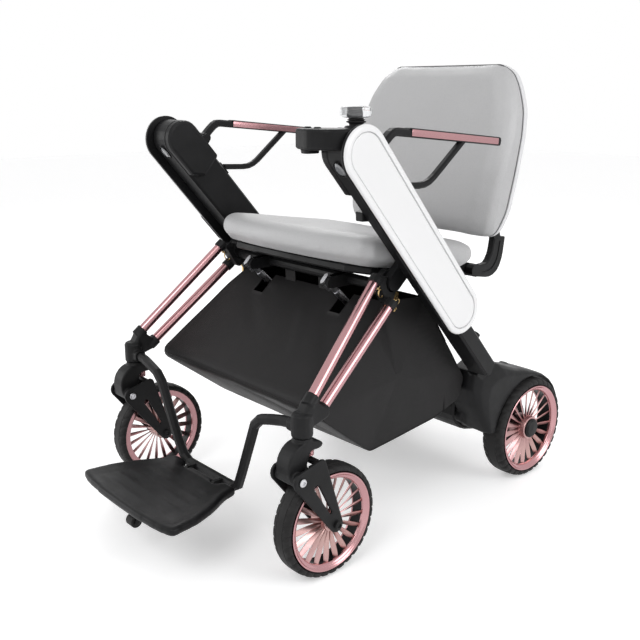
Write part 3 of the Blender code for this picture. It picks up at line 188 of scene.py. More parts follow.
def scaled(color, factor):
    return tuple(min(1.0, c * factor) for c in color)


def moulded(name, color, rough, grain, depth, spread=0.35, vary=0.065, **sockets):
    """Moulded or painted: a fine grain, soft blotches of colour and of gloss."""
    shade = Shade(name, color, rough, **sockets)
    blotch = shade.range(shade.noise(14.0, 4.0), 0.3, 0.7)
    shade.colour(shade.mix(blotch, scaled(color, 1.0 - spread), scaled(color, 1.0 + spread)))
    shade.rough(shade.range(shade.noise(38.0, 5.0), 0.3, 0.7, rough - vary, rough + vary))
    return shade.bump(shade.noise(grain, 2.0), depth)


def metal(name, color, rough, tint_and_glint=None):
    """Anodised or brushed metal with faint fine lines and slow changes of colour; on the rim blades
    the second colour is a gold of painted glints.
    """
    shade = Shade(name, color, rough, metal=1.0)
    lines = shade.noise(300.0, 3.0)
    slow = shade.range(shade.noise(7.0, 3.0), 0.35, 0.65)
    shade.colour(shade.mix(slow, color, tint_and_glint or scaled(color, 1.1)))
    shade.rough(shade.range(lines, 0.3, 0.7, rough - 0.02, rough + 0.03))
    return shade.bump(lines, 0.000004)


def leather():
    """Leather: small cells with darker, duller edges, pores and slow hollows."""
    shade = Shade("grey_leather", (0.46, 0.46, 0.465), 0.46, Coat_Weight=0.08, Coat_Roughness=0.35)
    tone = shade.mix(shade.range(shade.noise(5.0, 4.0), 0.3, 0.7), (0.445, 0.445, 0.45),
                     (0.475, 0.475, 0.48))
    grain = shade.range(shade.cells(620.0), 0.0, 0.12)
    shade.colour(shade.mix(grain, (0.385, 0.385, 0.39), tone))
    shade.rough(shade.range(grain, 0.0, 1.0, 0.56, 0.42))
    shade.bump(shade.noise(30.0, 4.0), 0.0004, 0.25)
    shade.bump(grain, 0.00012, 0.6)
    return shade.bump(shade.noise(1500.0, 2.0), 0.00004, 0.5)


def woven(name, color, pitch, rough, **sockets):
    """A tight weave of threads across X and threads that slant in Y and Z."""
    shade = Shade(name, color, rough, **sockets)
    threads = 0.5 / pitch
    slanted = shade.add("ShaderNodeMapping", Vector=shade.where, Rotation=(0.79, 0.0, 0.0))
    both = shade.tree.nodes.new("ShaderNodeMath")
    both.operation = "MULTIPLY"
    shade.feed(both.inputs[0], shade.wave(threads, shade.where, "X"))
    shade.feed(both.inputs[1], shade.wave(threads, slanted.outputs[0], "Z"))
    checks = both.outputs[0]
    slow = shade.noise(7.0, 4.0)
    tone = shade.mix(shade.range(slow, 0.3, 0.7), scaled(color, 0.72), scaled(color, 1.32))
    gaps = shade.range(checks, 0.0, 0.7, 0.18, 0.0)
    shade.colour(shade.mix(gaps, tone, scaled(color, 0.5)))
    shade.rough(shade.range(slow, 0.3, 0.7, rough - 0.07, rough + 0.07))
    shade.bump(shade.noise(11.0, 3.0), 0.004, 0.25)
    return shade.bump(checks, 0.00012, 0.6)


SHADES = (
    moulded("satin_black", (0.0072, 0.0072, 0.0078), 0.42, 520.0, 0.0001, Specular_IOR_Level=0.17),
    moulded("cast_black", (0.0085, 0.0085, 0.009), 0.48, 330.0, 0.00016, Specular_IOR_Level=0.18),
    metal("rose_gold", (0.45, 0.245, 0.26), 0.2, tint_and_glint=(0.49, 0.275, 0.285)),
    # The blades' gold second colour is painted glint, spread at random.
    metal("rim_blades", (0.46, 0.27, 0.28), 0.32, tint_and_glint=(0.52, 0.35, 0.32)),
    metal("brass", (0.58, 0.41, 0.19), 0.28),
    metal("steel", (0.52, 0.52, 0.54), 0.28),
    moulded("gloss_white", (0.745, 0.745, 0.75), 0.26, 260.0, 0.000004, spread=0.004, vary=0.012,
            Coat_Weight=0.5, Coat_Roughness=0.06),
    moulded("shell_white", (0.66, 0.66, 0.67), 0.36, 380.0, 0.00003, spread=0.012, vary=0.02),
    leather(),
    woven("bag_fabric", (0.0122, 0.0116, 0.012), 0.0011, 0.52, Specular_IOR_Level=0.17),
    moulded("tyre_rubber", (0.0105, 0.01, 0.0102), 0.58, 700.0, 0.00016, Specular_IOR_Level=0.22),
    moulded("lamp_lens", (0.2, 0.205, 0.215), 0.16, 60.0, 0.00004, spread=0.05,
            Coat_Weight=0.8, Coat_Roughness=0.04),
    moulded("clear_knob", (0.93, 0.94, 0.95), 0.08, 60.0, 0.00002, spread=0.02,
            Transmission_Weight=0.92, IOR=1.46),
)
LOOKS = {shade.name: shade.mat for shade in SHADES}

for name, node in NODES.items():
    if slot_of(name) in LOOKS:
        node.data.materials.clear()
        node.data.materials.append(LOOKS[slot_of(name)])


# Meshes

def link(thing):
    SCENE.collection.objects.link(thing)


def new_object(name, body, look, smooth=True, angle=None):
    """An object from a bmesh, whose faces point outwards."""
    bmesh.ops.recalc_face_normals(body, faces=body.faces[:])
    mesh = bpy.data.meshes.new(name)
    body.to_mesh(mesh)
    body.free()
    thing = bpy.data.objects.new(name, mesh)
    link(thing)
    mesh.materials.append(LOOKS[look])
    if smooth:
        mesh.shade_smooth()
        if angle:
            mesh.set_sharp_from_angle(angle=radians(angle))
    return thing


def skin(rings, closed=True, capped=False, body=None):
    """A bmesh through rings of points, or one more skin in a bmesh."""
    if body is None:
        body = bmesh.new()
    rows = [[body.verts.new(point) for point in ring] for ring in rings]
    count = len(rows[0])
    for low, high in zip(rows, rows[1:]):
        for k in range(count if closed else count - 1):
            after = (k + 1) % count
            body.faces.new((low[k], low[after], high[after], high[k]))
    if capped:
        body.faces.new(rows[0][::-1])
        body.faces.new(rows[-1])
    return body


def merge(body, distance):
    """Joins the points of a bmesh that lie this close."""
    bmesh.ops.remove_doubles(body, verts=body.verts[:], dist=distance)


def shaped(name, rings, slot, body, node=None, angle=50):
    """A closed piece through rings of points."""
    piece = new_object(name, skin(rings, capped=True), slot, angle=angle)
    return dressed(piece, body, node)


def crossways(axis, aside=(0.31, 0.2, 0.93)):
    """Two directions at right angles to an axis and to each other."""
    first = axis.cross(Vector(aside)).normalized()
    return first, axis.cross(first)


def path_frames(points, up, closed):
    """At each point of a path: the point, and two directions across it."""
    out, count = [], len(points)
    for k, point in enumerate(points):
        ahead = points[(k + 1) % count] if closed or k + 1 < count else point
        behind = points[k - 1] if closed or k else point
        along = (ahead - behind).normalized()
        across = along.cross(up)
        if across.length < 1e-6:
            across = along.cross(Vector((0.3, 0.5, 0.8)))
        across.normalize()
        out.append((point, across, across.cross(along)))
    return out


def tube(name, points, radius, look, up, sides=8, closed=False):
    """A round tube along a path. radius is one number or one for each point."""
    radii = radius if isinstance(radius, (list, tuple)) else [radius] * len(points)
    rings = []
    for (point, across, rise), size in zip(path_frames(points, up, closed), radii):
        rings.append([point + (across * cos(a) + rise * sin(a)) * size
                      for a in around(sides)])
    if closed:
        rings.append(rings[0])
    body = skin(rings, capped=not closed)
    merge(body, 1e-7)
    return new_object(name, body, look)


def turned(name, profile, centre, axis, look, steps, angle=35):
    """A turned piece: the profile is (along the axis, off it)."""
    axis = Vector(axis).normalized()
    first, second = crossways(axis)
    rings = []
    for a in around(steps):
        spoke = first * cos(a) + second * sin(a)
        rings.append([Vector(centre) + axis * along + spoke * max(off, 1e-5)
                      for along, off in profile])
    body = skin(rings + [rings[0]], closed=False)
    merge(body, 3e-5)
    return new_object(name, body, look, angle=angle)


def loops_of(name):
    """The CAD node's mesh as a bmesh, to build a piece from."""
    body = bmesh.new()
    body.from_mesh(NODES[name].data)
    merge(body, 1e-5)
    return body


# Floor, light and camera

WHITE = (1.0, 1.0, 1.0, 1.0)
FLOOR_SIZE = 9.0
FLOOR_GLOW = 0.34
WORLD_LIGHT = 0.62
LAMPS = (("key", (1.0, -2.6, 2.6), 35.0, 1.5), ("fill", (3.0, 0.6, 1.7), 38.0, 1.8),
         ("rim", (-2.2, 1.6, 2.4), 24.0, 1.4), ("low", (-2.4, -1.8, 0.9), 16.0, 1.4))
LAMPS_AIM = (0.0, 0.0, 0.35)
CAMERA_AT = (1.2346, -1.0947, 0.799)
CAMERA_DOWN, CAMERA_TURN, CAMERA_LENS = 15.113, 48.364, 47.955


def join(tree, *links):
    """Links outputs to inputs."""
    for start, end in links:
        tree.links.new(start, end)


def seen(tree):
    """1 for what the camera, a mirror or a glass shows, 0 for light that falls on the object."""
    path = tree.nodes.new("ShaderNodeLightPath")
    total = path.outputs["Is Camera Ray"]
    for other in ("Is Glossy Ray", "Is Transmission Ray"):
        node = tree.nodes.new("ShaderNodeMath")
        node.operation = "MAXIMUM"
        join(tree, (total, node.inputs[0]), (path.outputs[other], node.inputs[1]))
        total = node.outputs[0]
    return total


def brighten(tree, surface, target):
    """Adds a little white to a floor where it is seen, and none to the light that it gives."""
    glow = tree.nodes.new("ShaderNodeEmission")
    glow.inputs[0].default_value = WHITE
    share = tree.nodes.new("ShaderNodeMath")
    share.operation = "MULTIPLY"
    share.inputs[1].default_value = FLOOR_GLOW
    total = tree.nodes.new("ShaderNodeAddShader")
    join(tree, (seen(tree), share.inputs[0]), (share.outputs[0], glow.inputs[1]),
         (surface, total.inputs[0]), (glow.outputs[0], total.inputs[1]), (total.outputs[0], target))


def make_floor():
    floor = Shade("floor", (0.93, 0.93, 0.935), 0.62)
    floor.colour(floor.mix(floor.range(floor.noise(2.2, 3.0), 0.3, 0.7), (0.925, 0.925, 0.93),
                           (0.94, 0.94, 0.945)))
    brighten(floor.tree, floor.bsdf.outputs[0], floor.tree.nodes["Material Output"].inputs[0])
    LOOKS["floor"] = floor.mat
    body = bmesh.new()
    bmesh.ops.create_grid(body, x_segments=2, y_segments=2, size=FLOOR_SIZE)
    ground = new_object("floor", body, "floor", smooth=False)
    ground.location = (0.0, 0.0, CAD_BOX[0][2] - 0.0005)


def make_world():
    """A soft even light, behind a white that only shows."""
    world = bpy.data.worlds.new("studio")
    SCENE.world = world
    world.use_nodes = True
    tree = world.node_tree
    soft = tree.nodes["Background"]
    plain = tree.nodes.new("ShaderNodeBackground")
    for background, strength in ((soft, WORLD_LIGHT), (plain, 1.0)):
        background.inputs[0].default_value = WHITE
        background.inputs[1].default_value = strength
    mixed = tree.nodes.new("ShaderNodeMixShader")
    join(tree, (seen(tree), mixed.inputs[0]), (soft.outputs[0], mixed.inputs[1]),
         (plain.outputs[0], mixed.inputs[2]),
         (mixed.outputs[0], tree.nodes["World Output"].inputs[0]))


def make_lamps():
    for name, place, energy, size in LAMPS:
        lamp = bpy.data.lights.new(name, "AREA")
        lamp.energy, lamp.size = energy, size
        thing = bpy.data.objects.new(name, lamp)
        thing.location = place
        aim = Vector(LAMPS_AIM) - Vector(place)
        thing.rotation_euler = aim.to_track_quat("-Z", "Y").to_euler()
        link(thing)


def make_camera():
    camera = bpy.data.objects.new("camera", bpy.data.cameras.new("camera"))
    camera.location = CAMERA_AT
    camera.rotation_euler = (radians(90 - CAMERA_DOWN), 0.0, radians(CAMERA_TURN))
    camera.data.lens = CAMERA_LENS
    link(camera)
    SCENE.camera = camera
    SCENE.view_settings.view_transform = "Standard"


make_floor()
make_world()
make_lamps()
make_camera()


# Wheels, legs and springs

# Each wheel's kind, x and axle (y, z); its tyre's inner and outer radius, width and lugs; its rim's
# seat radius, half width, hub radius and bore.
CASTER_X, CASTER_AXLE = 0.265, (0.049, 0.1)
WHEELS = (
    ("caster", CASTER_X, CASTER_AXLE, (0.0878, 0.1, 0.04, 32), (0.0875, 0.02, 0.0165, 0.0056)),
    ("drive", 0.248, (0.631, 0.1066), (0.0934, 0.1066, 0.05, 34), (0.0931, 0.025, 0.0245, 0.0104)))
TYRE_HALF = ((0.8, 0.0), (1.0, 0.14), (1.0, 0.42), (0.95, 0.66), (0.84, 0.83), (0.66, 0.935),
             (0.46, 0.985), (0.4, 0.986), (0.36, 0.985), (0.16, 1.0))
LUG_STEPS = 10
LUG_LEAN, LUG_GAP = 0.85, 0.17
BAND_EDGE = 0.4
ROD_BEVEL = 0.0006
LEG_RADIUS = 0.0095
LEGS = (("front_leg", (0.266, 0.015, 0.318), (0.227, 0.2025, 0.4868)),
        ("rear_leg", (0.262, 0.041, 0.294), (0.239, 0.228, 0.441)))


def tread_depth(a, b, turn):
    """How far the tread is sunk at a point of the form. turn counts lugs."""
    if abs(abs(a) - BAND_EDGE) < 0.01:
        return 0.0009
    if abs(a) <= 0.44 or b <= 0.3:
        return 0.0
    lean = (turn + LUG_LEAN * abs(a) + (0.5 if a < 0 else 0.0)) % 1.0
    gap = max(0.0, 1.0 - abs(lean - 0.5) / LUG_GAP)
    return min(1.0, gap * 1.6) * (0.0013 if b > 0.97 else 0.0019)


def tyre(side, sign, kind, x, axle, inner, radius, width, lugs):
    """A tyre with a smooth middle band and slanted blocks on both shoulders."""
    half, depth = width / 2, radius - inner
    form = [(-a, b) for a, b in TYRE_HALF] + [(0.0, 1.0)] + list(TYRE_HALF[::-1])
    rings = []
    for k, angle in enumerate(around(lugs * LUG_STEPS)):
        ring = []
        for a, b in form:
            sunk = tread_depth(a, b, k / LUG_STEPS)
            narrowed = sunk * 0.8 if b < 0.9 else 0.0
            ring.append((x + a * (half - narrowed), inner + depth * b - sunk))
        ring.append((x, inner))
        rings.append([Vector((px * sign, axle[0] - MIDDLE + cos(angle) * out,
                              axle[1] + sin(angle) * out)) for px, out in ring])
    body = skin(rings + [rings[0]])
    merge(body, 1e-6)
    name = "%s_%s_tyre" % (side, kind)
    piece = new_object(name + "_tread", body, "tyre_rubber", angle=38)
    dressed(piece, "%s_%s_wheel" % (side, kind), name)


def rod_between(name, low, high, radius, slot, body, sides=40, node=None):
    """A straight rod with slightly rounded ends."""
    run = high - low
    form = [(0.0, 0.0), (0.0, radius - ROD_BEVEL), (ROD_BEVEL, radius),
            (run.length - ROD_BEVEL, radius), (run.length, radius - ROD_BEVEL), (run.length, 0.0)]
    dressed(turned(name, form, low, run, slot, sides), body, node)


def curved(points, steps):
    """A smooth path through the points."""
    out = []
    full = [points[0]] + list(points) + [points[-1]]
    for a, b, c, d in zip(full, full[1:], full[2:], full[3:]):
        for k in range(steps):
            t = k / steps
            out.append(b + (c - a) * 0.5 * t + (a - b * 2.5 + c * 2.0 - d * 0.5) * t * t
                       + ((d - a) * 0.5 + (b - c) * 1.5) * t * t * t)
    return out + [points[-1]]


def coil(name, centre, axis, radius, wire, turns, length, steps, slot, body, node=None, ends=()):
    """A helical spring, with optional end legs."""
    axis = Vector(axis).normalized()
    first, second = crossways(axis, (0.3, 0.24, 0.91))
    count = int(turns * steps)
    points = []
    for k in range(count + 1):
        a = 2 * pi * turns * k / count
        spoke = first * cos(a) + second * sin(a)
        points.append(Vector(centre) + axis * (length * k / count) + spoke * radius)
    points = list(ends[:1]) + points + list(ends[1:])
    return dressed(tube(name, points, wire, slot, up=axis), body, node)


for side, sign in SIDES:
    for kind, x, axle, sizes, _ in WHEELS:
        tyre(side, sign, kind, x, axle, *sizes)
    for leg, *ends in LEGS:
        low, high = (at(px * sign, py, pz) for px, py, pz in ends)
        rod_between("%s_%s_tube" % (side, leg), low, high, LEG_RADIUS, "rose_gold", "front_frame",
                    node="%s_%s" % (side, leg))


# Rims

BLADES, BLADE_STEPS = 21, 9
BLADE_SECTION = ((-1, 0), (-0.92, -0.72), (0.0, -1.0), (0.92, -0.72), (1, 0), (0.92, 0.72),
                 (0.0, 1.0), (-0.92, 0.72))


def rim_forms(seat, inner, half, hub, bore):
    """The rim's turned parts: name, look, steps and profile."""
    lip = half + 0.0012
    low, high = -half * 0.86, half * 0.92
    return (
        ("back", "rose_gold", 96,
         [(-half * 0.5, inner), (-half * 0.66, inner), (-half * 0.74, inner + 0.003),
          (-half * 0.76, seat), (-half * 0.5, seat)]),
        # The barrel, the inside of the rim between back and band, is black as painted shade.
        ("barrel", "satin_black", 96,
         [(-half * 0.495, inner + 0.0004), (-half * 0.495, seat), (half * 0.555, seat),
          (half * 0.555, inner + 0.0004)]),
        ("band", "rose_gold", 96,
         [(half * 0.56, inner), (half * 0.56, seat), (half * 0.78, seat),
          (lip - 0.0006, seat - 0.0006), (lip, seat - 0.0016), (lip, seat - 0.003),
          (lip - 0.0007, seat - 0.0038), (half * 0.96, seat - 0.0048), (half * 0.91, seat - 0.007),
          (half * 0.86, seat - 0.0091), (half * 0.8, seat - 0.0106), (half * 0.72, inner)]),
        ("hub", "rim_blades", 72,
         [(low, bore), (low, hub - 0.0012), (low + 0.0012, hub), (high - 0.0014, hub),
          (high - 0.0004, hub - 0.0005), (high, hub - 0.0014), (high, hub * 0.8),
          (high - 0.0012, hub * 0.76), (high - 0.0012, hub * 0.52), (high, hub * 0.48),
          (high, bore)]))


def blade(x, sign, axle, half, angle, start, end):
    """The rings of one twisted blade, with its sizes at the hub and at the band."""
    rings = []
    for step in range(BLADE_STEPS + 1):
        share = step / BLADE_STEPS
        radius, offset, deep, wide, thick = (a + (b - a) * share for a, b in zip(start, end))
        wide *= 1.0 + 0.16 * sin(share * pi) - 0.24 * max(0.0, share - 0.8) / 0.2
        twist = atan2(wide, deep)
        ring = []
        for a, b in BLADE_SECTION:
            along = a * deep - b * thick * sin(twist)
            spin = angle + (a * wide + b * thick * cos(twist)) / radius
            ring.append(at((x + half * offset + along) * sign, axle[0] + radius * cos(spin),
                           axle[1] + radius * sin(spin)))
        rings.append(ring)
    return rings


def rim(side, sign, kind, x, axle, seat, half, hub, bore):
    """A rim of twisted blades between a hub and a hollow-faced outer band."""
    name = "%s_%s" % (side, kind)
    inner = seat - 0.0115
    for part, look, steps, form in rim_forms(seat, inner, half, hub, bore):
        piece = turned("%s_rim_%s" % (name, part), form + form[:1], at(x * sign, *axle),
                       (sign, 0.0, 0.0), look, steps, 28)
        dressed(piece, name + "_wheel",
                name + "_rim" if part == "band" else None)
    body = bmesh.new()
    start = (hub * 0.9, 0.38, 0.0036, 0.0016, 0.0012)
    end = (inner + 0.001, 0.46, 0.0022, 0.0047, 0.0018)
    for k in range(BLADES):
        angle = 2 * pi * (k + 0.5) / BLADES
        skin(blade(x, sign, axle, half, angle, start, end), capped=True, body=body)
    fan = new_object(name + "_rim_blades", body, "rim_blades", angle=40)
    dressed(fan, name + "_wheel")


for side, sign in SIDES:
    for kind, x, axle, _, sizes in WHEELS:
        rim(side, sign, kind, x, axle, *sizes)


# Side covers

SLOPE = radians(48.66)
DOWN = Vector((0.0, cos(SLOPE), -sin(SLOPE)))
REARWARD = Vector((0.0, sin(SLOPE), cos(SLOPE)))
COVER_X = 0.282
# How far in from the cover's edge and out from its seat.
CARRIER_FORM = ((0.0002, 0.0), (0.0, 0.0006), (0.0, 0.0046), (0.0006, 0.0052), (0.0014, 0.0052))
COVER_FORM = (
    (0.0008, 0.0052), (0.0003, 0.0056), (0.0, 0.0066), (0.0005, 0.0082), (0.0016, 0.0099),
    (0.0034, 0.011), (0.0058, 0.0115), (0.0098, 0.0115), (0.0106, 0.0112), (0.0109, 0.01),
    (0.011, 0.0074), (0.0121, 0.0074), (0.0122, 0.0092), (0.0128, 0.0101), (0.0142, 0.0104),
    (0.018, 0.0105), (0.026, 0.0108), (0.036, 0.011), (0.043, 0.0111))
# Dark cords along the cover's lower front edge: a real seam, drawn dark as painted shade of its
# step.
SEAM_SHADES = ((0.172, 0.246), (0.252, 0.318), (0.324, 0.376))
SEAM_SHADE_RADII = [0.0002] + [0.0011] * 11 + [0.0002]


def on_beam(x, along, across=0.0):
    """A point this far down the beam and this far behind its middle line."""
    return at(x, 0.108, 0.7) + DOWN * along + REARWARD * across


def stadium(inset, steps=30):
    """The cover's outline, moved inwards."""
    ring = []
    for centre, radius, start in ((on_beam(0.0, 0.0, 0.0045), 0.0459, 0.0),
                                  (on_beam(0.0, 0.38), 0.0449, pi)):
        for k in range(steps + 1):
            a = start + pi * k / steps
            ring.append(centre + (REARWARD * cos(a) - DOWN * sin(a)) * (radius - inset))
    return ring


for side, sign in SIDES:
    for part, form, slot, node in (("carrier", CARRIER_FORM, "satin_black", None),
                                   ("shell", COVER_FORM, "gloss_white", side + "_side_cover")):
        rings = [[Vector(((COVER_X + rise) * sign, p.y, p.z)) for p in stadium(inset)]
                 for inset, rise in form]
        shaped("%s_cover_%s" % (side, part), rings, slot, "main_frame", node)
    # The seam cords are dark as painted shade of the step.
    for number, (start, end) in enumerate(SEAM_SHADES):
        points = [on_beam((COVER_X + 0.0034) * sign, start + (end - start) * k / 12, -0.0452)
                  for k in range(len(SEAM_SHADE_RADII))]
        seam = tube("%s_cover_seam_%d" % (side, number + 1), points, SEAM_SHADE_RADII, "cast_black",
                    up=REARWARD)
        dressed(seam, "main_frame")


# Small metal parts

# How far up the screw and off its axis, and whether the ring is six-sided.
BOLT_FORM = ((0.0, 1.0, 0), (0.45, 1.0, 0), (0.8, 0.88, 0), (1.0, 0.62, 0), (1.0, 0.5, 1),
             (0.35, 0.48, 1))
SPRING_FOOT = 0.2239
LATCH_PIN = at(0.0, 0.2527, 0.4373)
HOOK = (
    (0.23, 0.1965, 0.473), (0.23, 0.201, 0.4735), (0.2296, 0.206, 0.4715), (0.229, 0.2085, 0.4665),
    (0.2284, 0.207, 0.4615), (0.2278, 0.2075, 0.456), (0.2272, 0.211, 0.452),
    (0.2268, 0.2155, 0.45), (0.2266, 0.2185, 0.453), (0.2266, 0.2175, 0.4565))


def bolt(name, centre, axis, radius, height, body, slot="steel"):
    """A round-headed screw with a six-sided socket."""
    axis = Vector(axis).normalized()
    first, second = crossways(axis)
    rings = []
    for rise, share, six in BOLT_FORM:
        ring = []
        for a in around(36):
            reach = radius * share
            if six:
                reach *= 0.88 / cos((a % (pi / 3)) - pi / 6)
            ring.append(centre + axis * height * rise
                        + (first * cos(a) + second * sin(a)) * reach)
        rings.append(ring)
    shaped(name, rings, slot, body, angle=30)


for side, sign in SIDES:
    arm = side + "_caster_arm"
    for end, place in (("outer", 1), ("inner", -1)):
        out = (sign * place, 0, 0)
        bolt("%s_pivot_bolt_%s" % (side, end), at((CASTER_X + place * 0.0325) * sign, -0.026, 0.2),
             out, 0.0068, 0.0024, side + "_caster_crown")
        bolt("%s_axle_bolt_%s" % (side, end), at((CASTER_X + place * 0.0349) * sign, *CASTER_AXLE),
             out, 0.0078, 0.0022, arm, "cast_black")
    bolt(side + "_armrest_bolt", at(0.2649 * sign, 0.17804, 0.70501), (sign, 0, 0), 0.0058, 0.002,
         "main_frame")
    foot = at(CASTER_X * sign, 0.016, SPRING_FOOT)
    low = at(CASTER_X * sign, 0.016, SPRING_FOOT + 0.0012)
    spring = coil(side + "_spring_coil", low, (0, 0, 1), 0.006, 0.0012, 5.0, 0.0134, 24,
                  "rose_gold", arm, side + "_spring")
    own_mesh(spring)
    rod_between(side + "_spring_guide", foot, at(CASTER_X * sign, 0.016, SPRING_FOOT + 0.0115),
                0.0034, "cast_black", arm, 24)
    y, z = LATCH_PIN.y, LATCH_PIN.z
    coil(side + "_latch_spring", (0.2259 * sign, y, z), (sign, 0, 0), 0.005, 0.00085, 3.0, 0.0049,
         20, "brass", "front_frame", ends=(Vector((0.2259 * sign, y + 0.003, z - 0.0155)),
                                           Vector((0.2308 * sign, y - 0.0125, z + 0.0075))))
    hook = tube(side + "_latch_hook", curved([at(px * sign, py, pz) for px, py, pz in HOOK], 5),
                0.0013, "brass", up=Vector((1, 0, 0)), sides=10)
    dressed(hook, "front_frame")
    coil(side + "_hook_spring", at(0.2266 * sign, 0.2065, 0.469), (sign, 0, 0), 0.0036, 0.0007,
         4.0, 0.006, 18, "brass", "front_frame")


# Lamps and stick

STICK = (0.26, 0.118, 0.741)
KNOB_FOOT = 0.7573
BELLOWS_FORM = [
    (-0.00935, 0.0), (-0.00935, 0.00784), (-0.0061, 0.01057), (-0.0021, 0.012), (0.0021, 0.012),
    (0.00573, 0.01077), (0.0083, 0.0118), (0.0092, 0.0146), (0.0098, 0.0155), (0.0106, 0.0156),
    (0.0113, 0.0148), (0.0118, 0.0124), (0.0122, 0.0119), (0.0127, 0.0126), (0.0131, 0.0136),
    (0.0137, 0.0139), (0.0142, 0.013), (0.0146, 0.0115), (0.0151, 0.0114), (0.0156, 0.0122),
    (0.016, 0.0121), (0.016, 0.0)]
# Height, radius and depth of the six finger hollows.
KNOB_FORM = (
    (0.0, 0.015, 0.0), (0.0004, 0.019, 0.0005), (0.0012, 0.0212, 0.0008), (0.0024, 0.023, 0.001),
    (0.0045, 0.0241, 0.0011), (0.007, 0.0244, 0.0011), (0.0115, 0.0244, 0.0011),
    (0.014, 0.0241, 0.0011), (0.0158, 0.023, 0.001), (0.017, 0.0212, 0.0008),
    (0.0177, 0.0185, 0.0004), (0.018, 0.015, 0.0))
CORE_FORM = [(0.0006, 0.0), (0.0006, 0.0112), (0.0016, 0.0118), (0.004, 0.0112), (0.006, 0.0092),
             (0.01, 0.0086), (0.0112, 0.0078), (0.0116, 0.006), (0.0116, 0.0)]

for side, sign in SIDES:
    centre = on_beam(0.254 * sign, 0.004, -0.0276)
    points = [centre + Vector((sign, 0, 0)) * 0.0102 * cos(a) + DOWN * 0.0154 * sin(a)
              for a in around(40)]
    ring = tube(side + "_lamp_ring", points, 0.0013, "satin_black", up=REARWARD, closed=True)
    dressed(ring, "main_frame")

boot = turned("stick_bellows", BELLOWS_FORM, at(*STICK), (0, 0, 1), "tyre_rubber", 56, 60)
dressed(boot, "joystick", "joystick_boot")
rings = []
for level, radius, wave in KNOB_FORM:
    ring = []
    for angle in around(120):
        reach = radius + wave * cos(6 * angle)
        ring.append(at(STICK[0] + reach * cos(angle), STICK[1] + reach * sin(angle),
                       KNOB_FOOT + level))
    rings.append(ring)
shaped("knob_clear", rings, "clear_knob", "joystick", "joystick_knob", angle=45)
core = turned("knob_core", CORE_FORM, at(STICK[0], STICK[1], KNOB_FOOT), (0, 0, 1), "cast_black",
              48, 40)
dressed(core, "joystick")


# Modifiers and sizes

def settle(thing):
    """Makes the modifiers' result the mesh."""
    graph = bpy.context.evaluated_depsgraph_get()
    mesh = bpy.data.meshes.new_from_object(thing.evaluated_get(graph))
    material = thing.data.materials[0]
    thing.modifiers.clear()
    thing.data = mesh
    if not mesh.materials:
        mesh.materials.append(material)
    mesh.shade_smooth()


def remeshed(thing, voxel):
    step = thing.modifiers.new("remesh", "REMESH")
    step.mode, step.voxel_size = "VOXEL", voxel


def smoothed(thing, rounds):
    step = thing.modifiers.new("smooth", "SMOOTH")
    step.factor, step.iterations = 0.5, rounds


def fitted(piece, low, high):
    """Brings a piece's outer sizes back to those of its CAD node."""
    points = [vertex.co for vertex in piece.data.vertices]
    for axis in range(3):
        least, most = min(p[axis] for p in points), max(p[axis] for p in points)
        scale = (high[axis] - low[axis]) / (most - least)
        for point in points:
            point[axis] = low[axis] + (point[axis] - least) * scale


# Castings

CASTINGS = (("crown", 0.0016, 6), ("fender", 0.0024, 6), ("head_casting", 0.0015, 4),
            ("suspension_arm", 0.0014, 3))


def cast(source, voxel, rounds):
    """A CAD casting with its edges softened, within the CAD part's own sizes."""
    slot = slot_of(source)
    piece = new_object(source + "_cast", loops_of(source), slot)
    remeshed(piece, voxel)
    smoothed(piece, rounds)
    settle(piece)
    fitted(piece, *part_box(source))
    dressed(piece, body_of(source), source)


for side, _ in SIDES:
    for part, voxel, rounds in CASTINGS:
        cast("%s_%s" % (side, part), voxel, rounds)
cast("footplate", 0.0032, 10)
cast("joystick_pod", 0.0016, 5)


# Armrest inlays, tops and end caps

ARM_START = at(0.0, 0.21004, 0.73351)
ARM_RUN = Vector((0.0, 0.9953, -0.0971))
ARM_UP = Vector((0.0, 0.0971, 0.9953))
ARM_FROM, ARM_TO = 0.0385, 0.2822
# Sections are (across, up). The rings of a piece are (along, how much less).
WRAP = [(0.0091, -0.0048), (0.0092, 0.0), (0.0091, 0.0048), (0.0088, 0.006), (0.0082, 0.0066)]
WRAP += [(-a, b) for a, b in WRAP[::-1]]
WRAP += [(-0.0065, -0.0048), (-0.0065, 0.005), (0.0065, 0.005), (0.0065, -0.0048)]
WRAP_RINGS = ((ARM_FROM, 0.0004), (ARM_FROM + 0.001, 0.0), (ARM_TO - 0.0088, 0.0),
              (ARM_TO - 0.008, 0.0003))
TOP = ((0.0084, 0.0066), (0.0082, 0.0076), (0.007, 0.0084), (0.004, 0.0087))
TOP += tuple((-a, b) for a, b in TOP[::-1])
TOP_RINGS = ((ARM_FROM - 0.003, 0.0009), (ARM_FROM - 0.0018, 0.0001), (ARM_FROM, 0.0),
             (ARM_TO - 0.0078, 0.0))
CAP_RINGS = ((-0.0078, 0.0006), (-0.0072, 0.0), (-0.002, 0.0), (-0.0004, 0.0005),
             (0.0008, 0.0016), (0.0015, 0.0034))


def arm_point(sign, across, up, along):
    """A point beside the armrest's middle line."""
    return ARM_START + Vector(((0.25 + across) * sign, 0.0, 0.0)) + ARM_UP * up + ARM_RUN * along


def squared(value, half):
    """A cosine or sine made blunter, for a rounded square."""
    return copysign(abs(value) ** 0.45, value) * half


for side, sign in SIDES:
    body = side + "_armrest"
    rings = [[arm_point(sign, a * (1 - less * 60), b * (1 - less * 60) if b > 0.0 else b, along)
              for a, b in WRAP] for along, less in WRAP_RINGS]
    shaped(side + "_inlay_wrap", rings, "rose_gold", body, body + "_inlay", angle=35)
    rings = [[arm_point(sign, a, b - less, along) for a, b in TOP] for along, less in TOP_RINGS]
    shaped(side + "_armrest_top", rings, "satin_black", body)
    rings = [[arm_point(sign, squared(cos(a), 0.0092 - less),
                        squared(sin(a), 0.0079 - less) + 0.0006, ARM_TO + along)
              for a in around(32)] for along, less in CAP_RINGS]
    shaped(side + "_armrest_cap", rings, "satin_black", body)


# Cushions

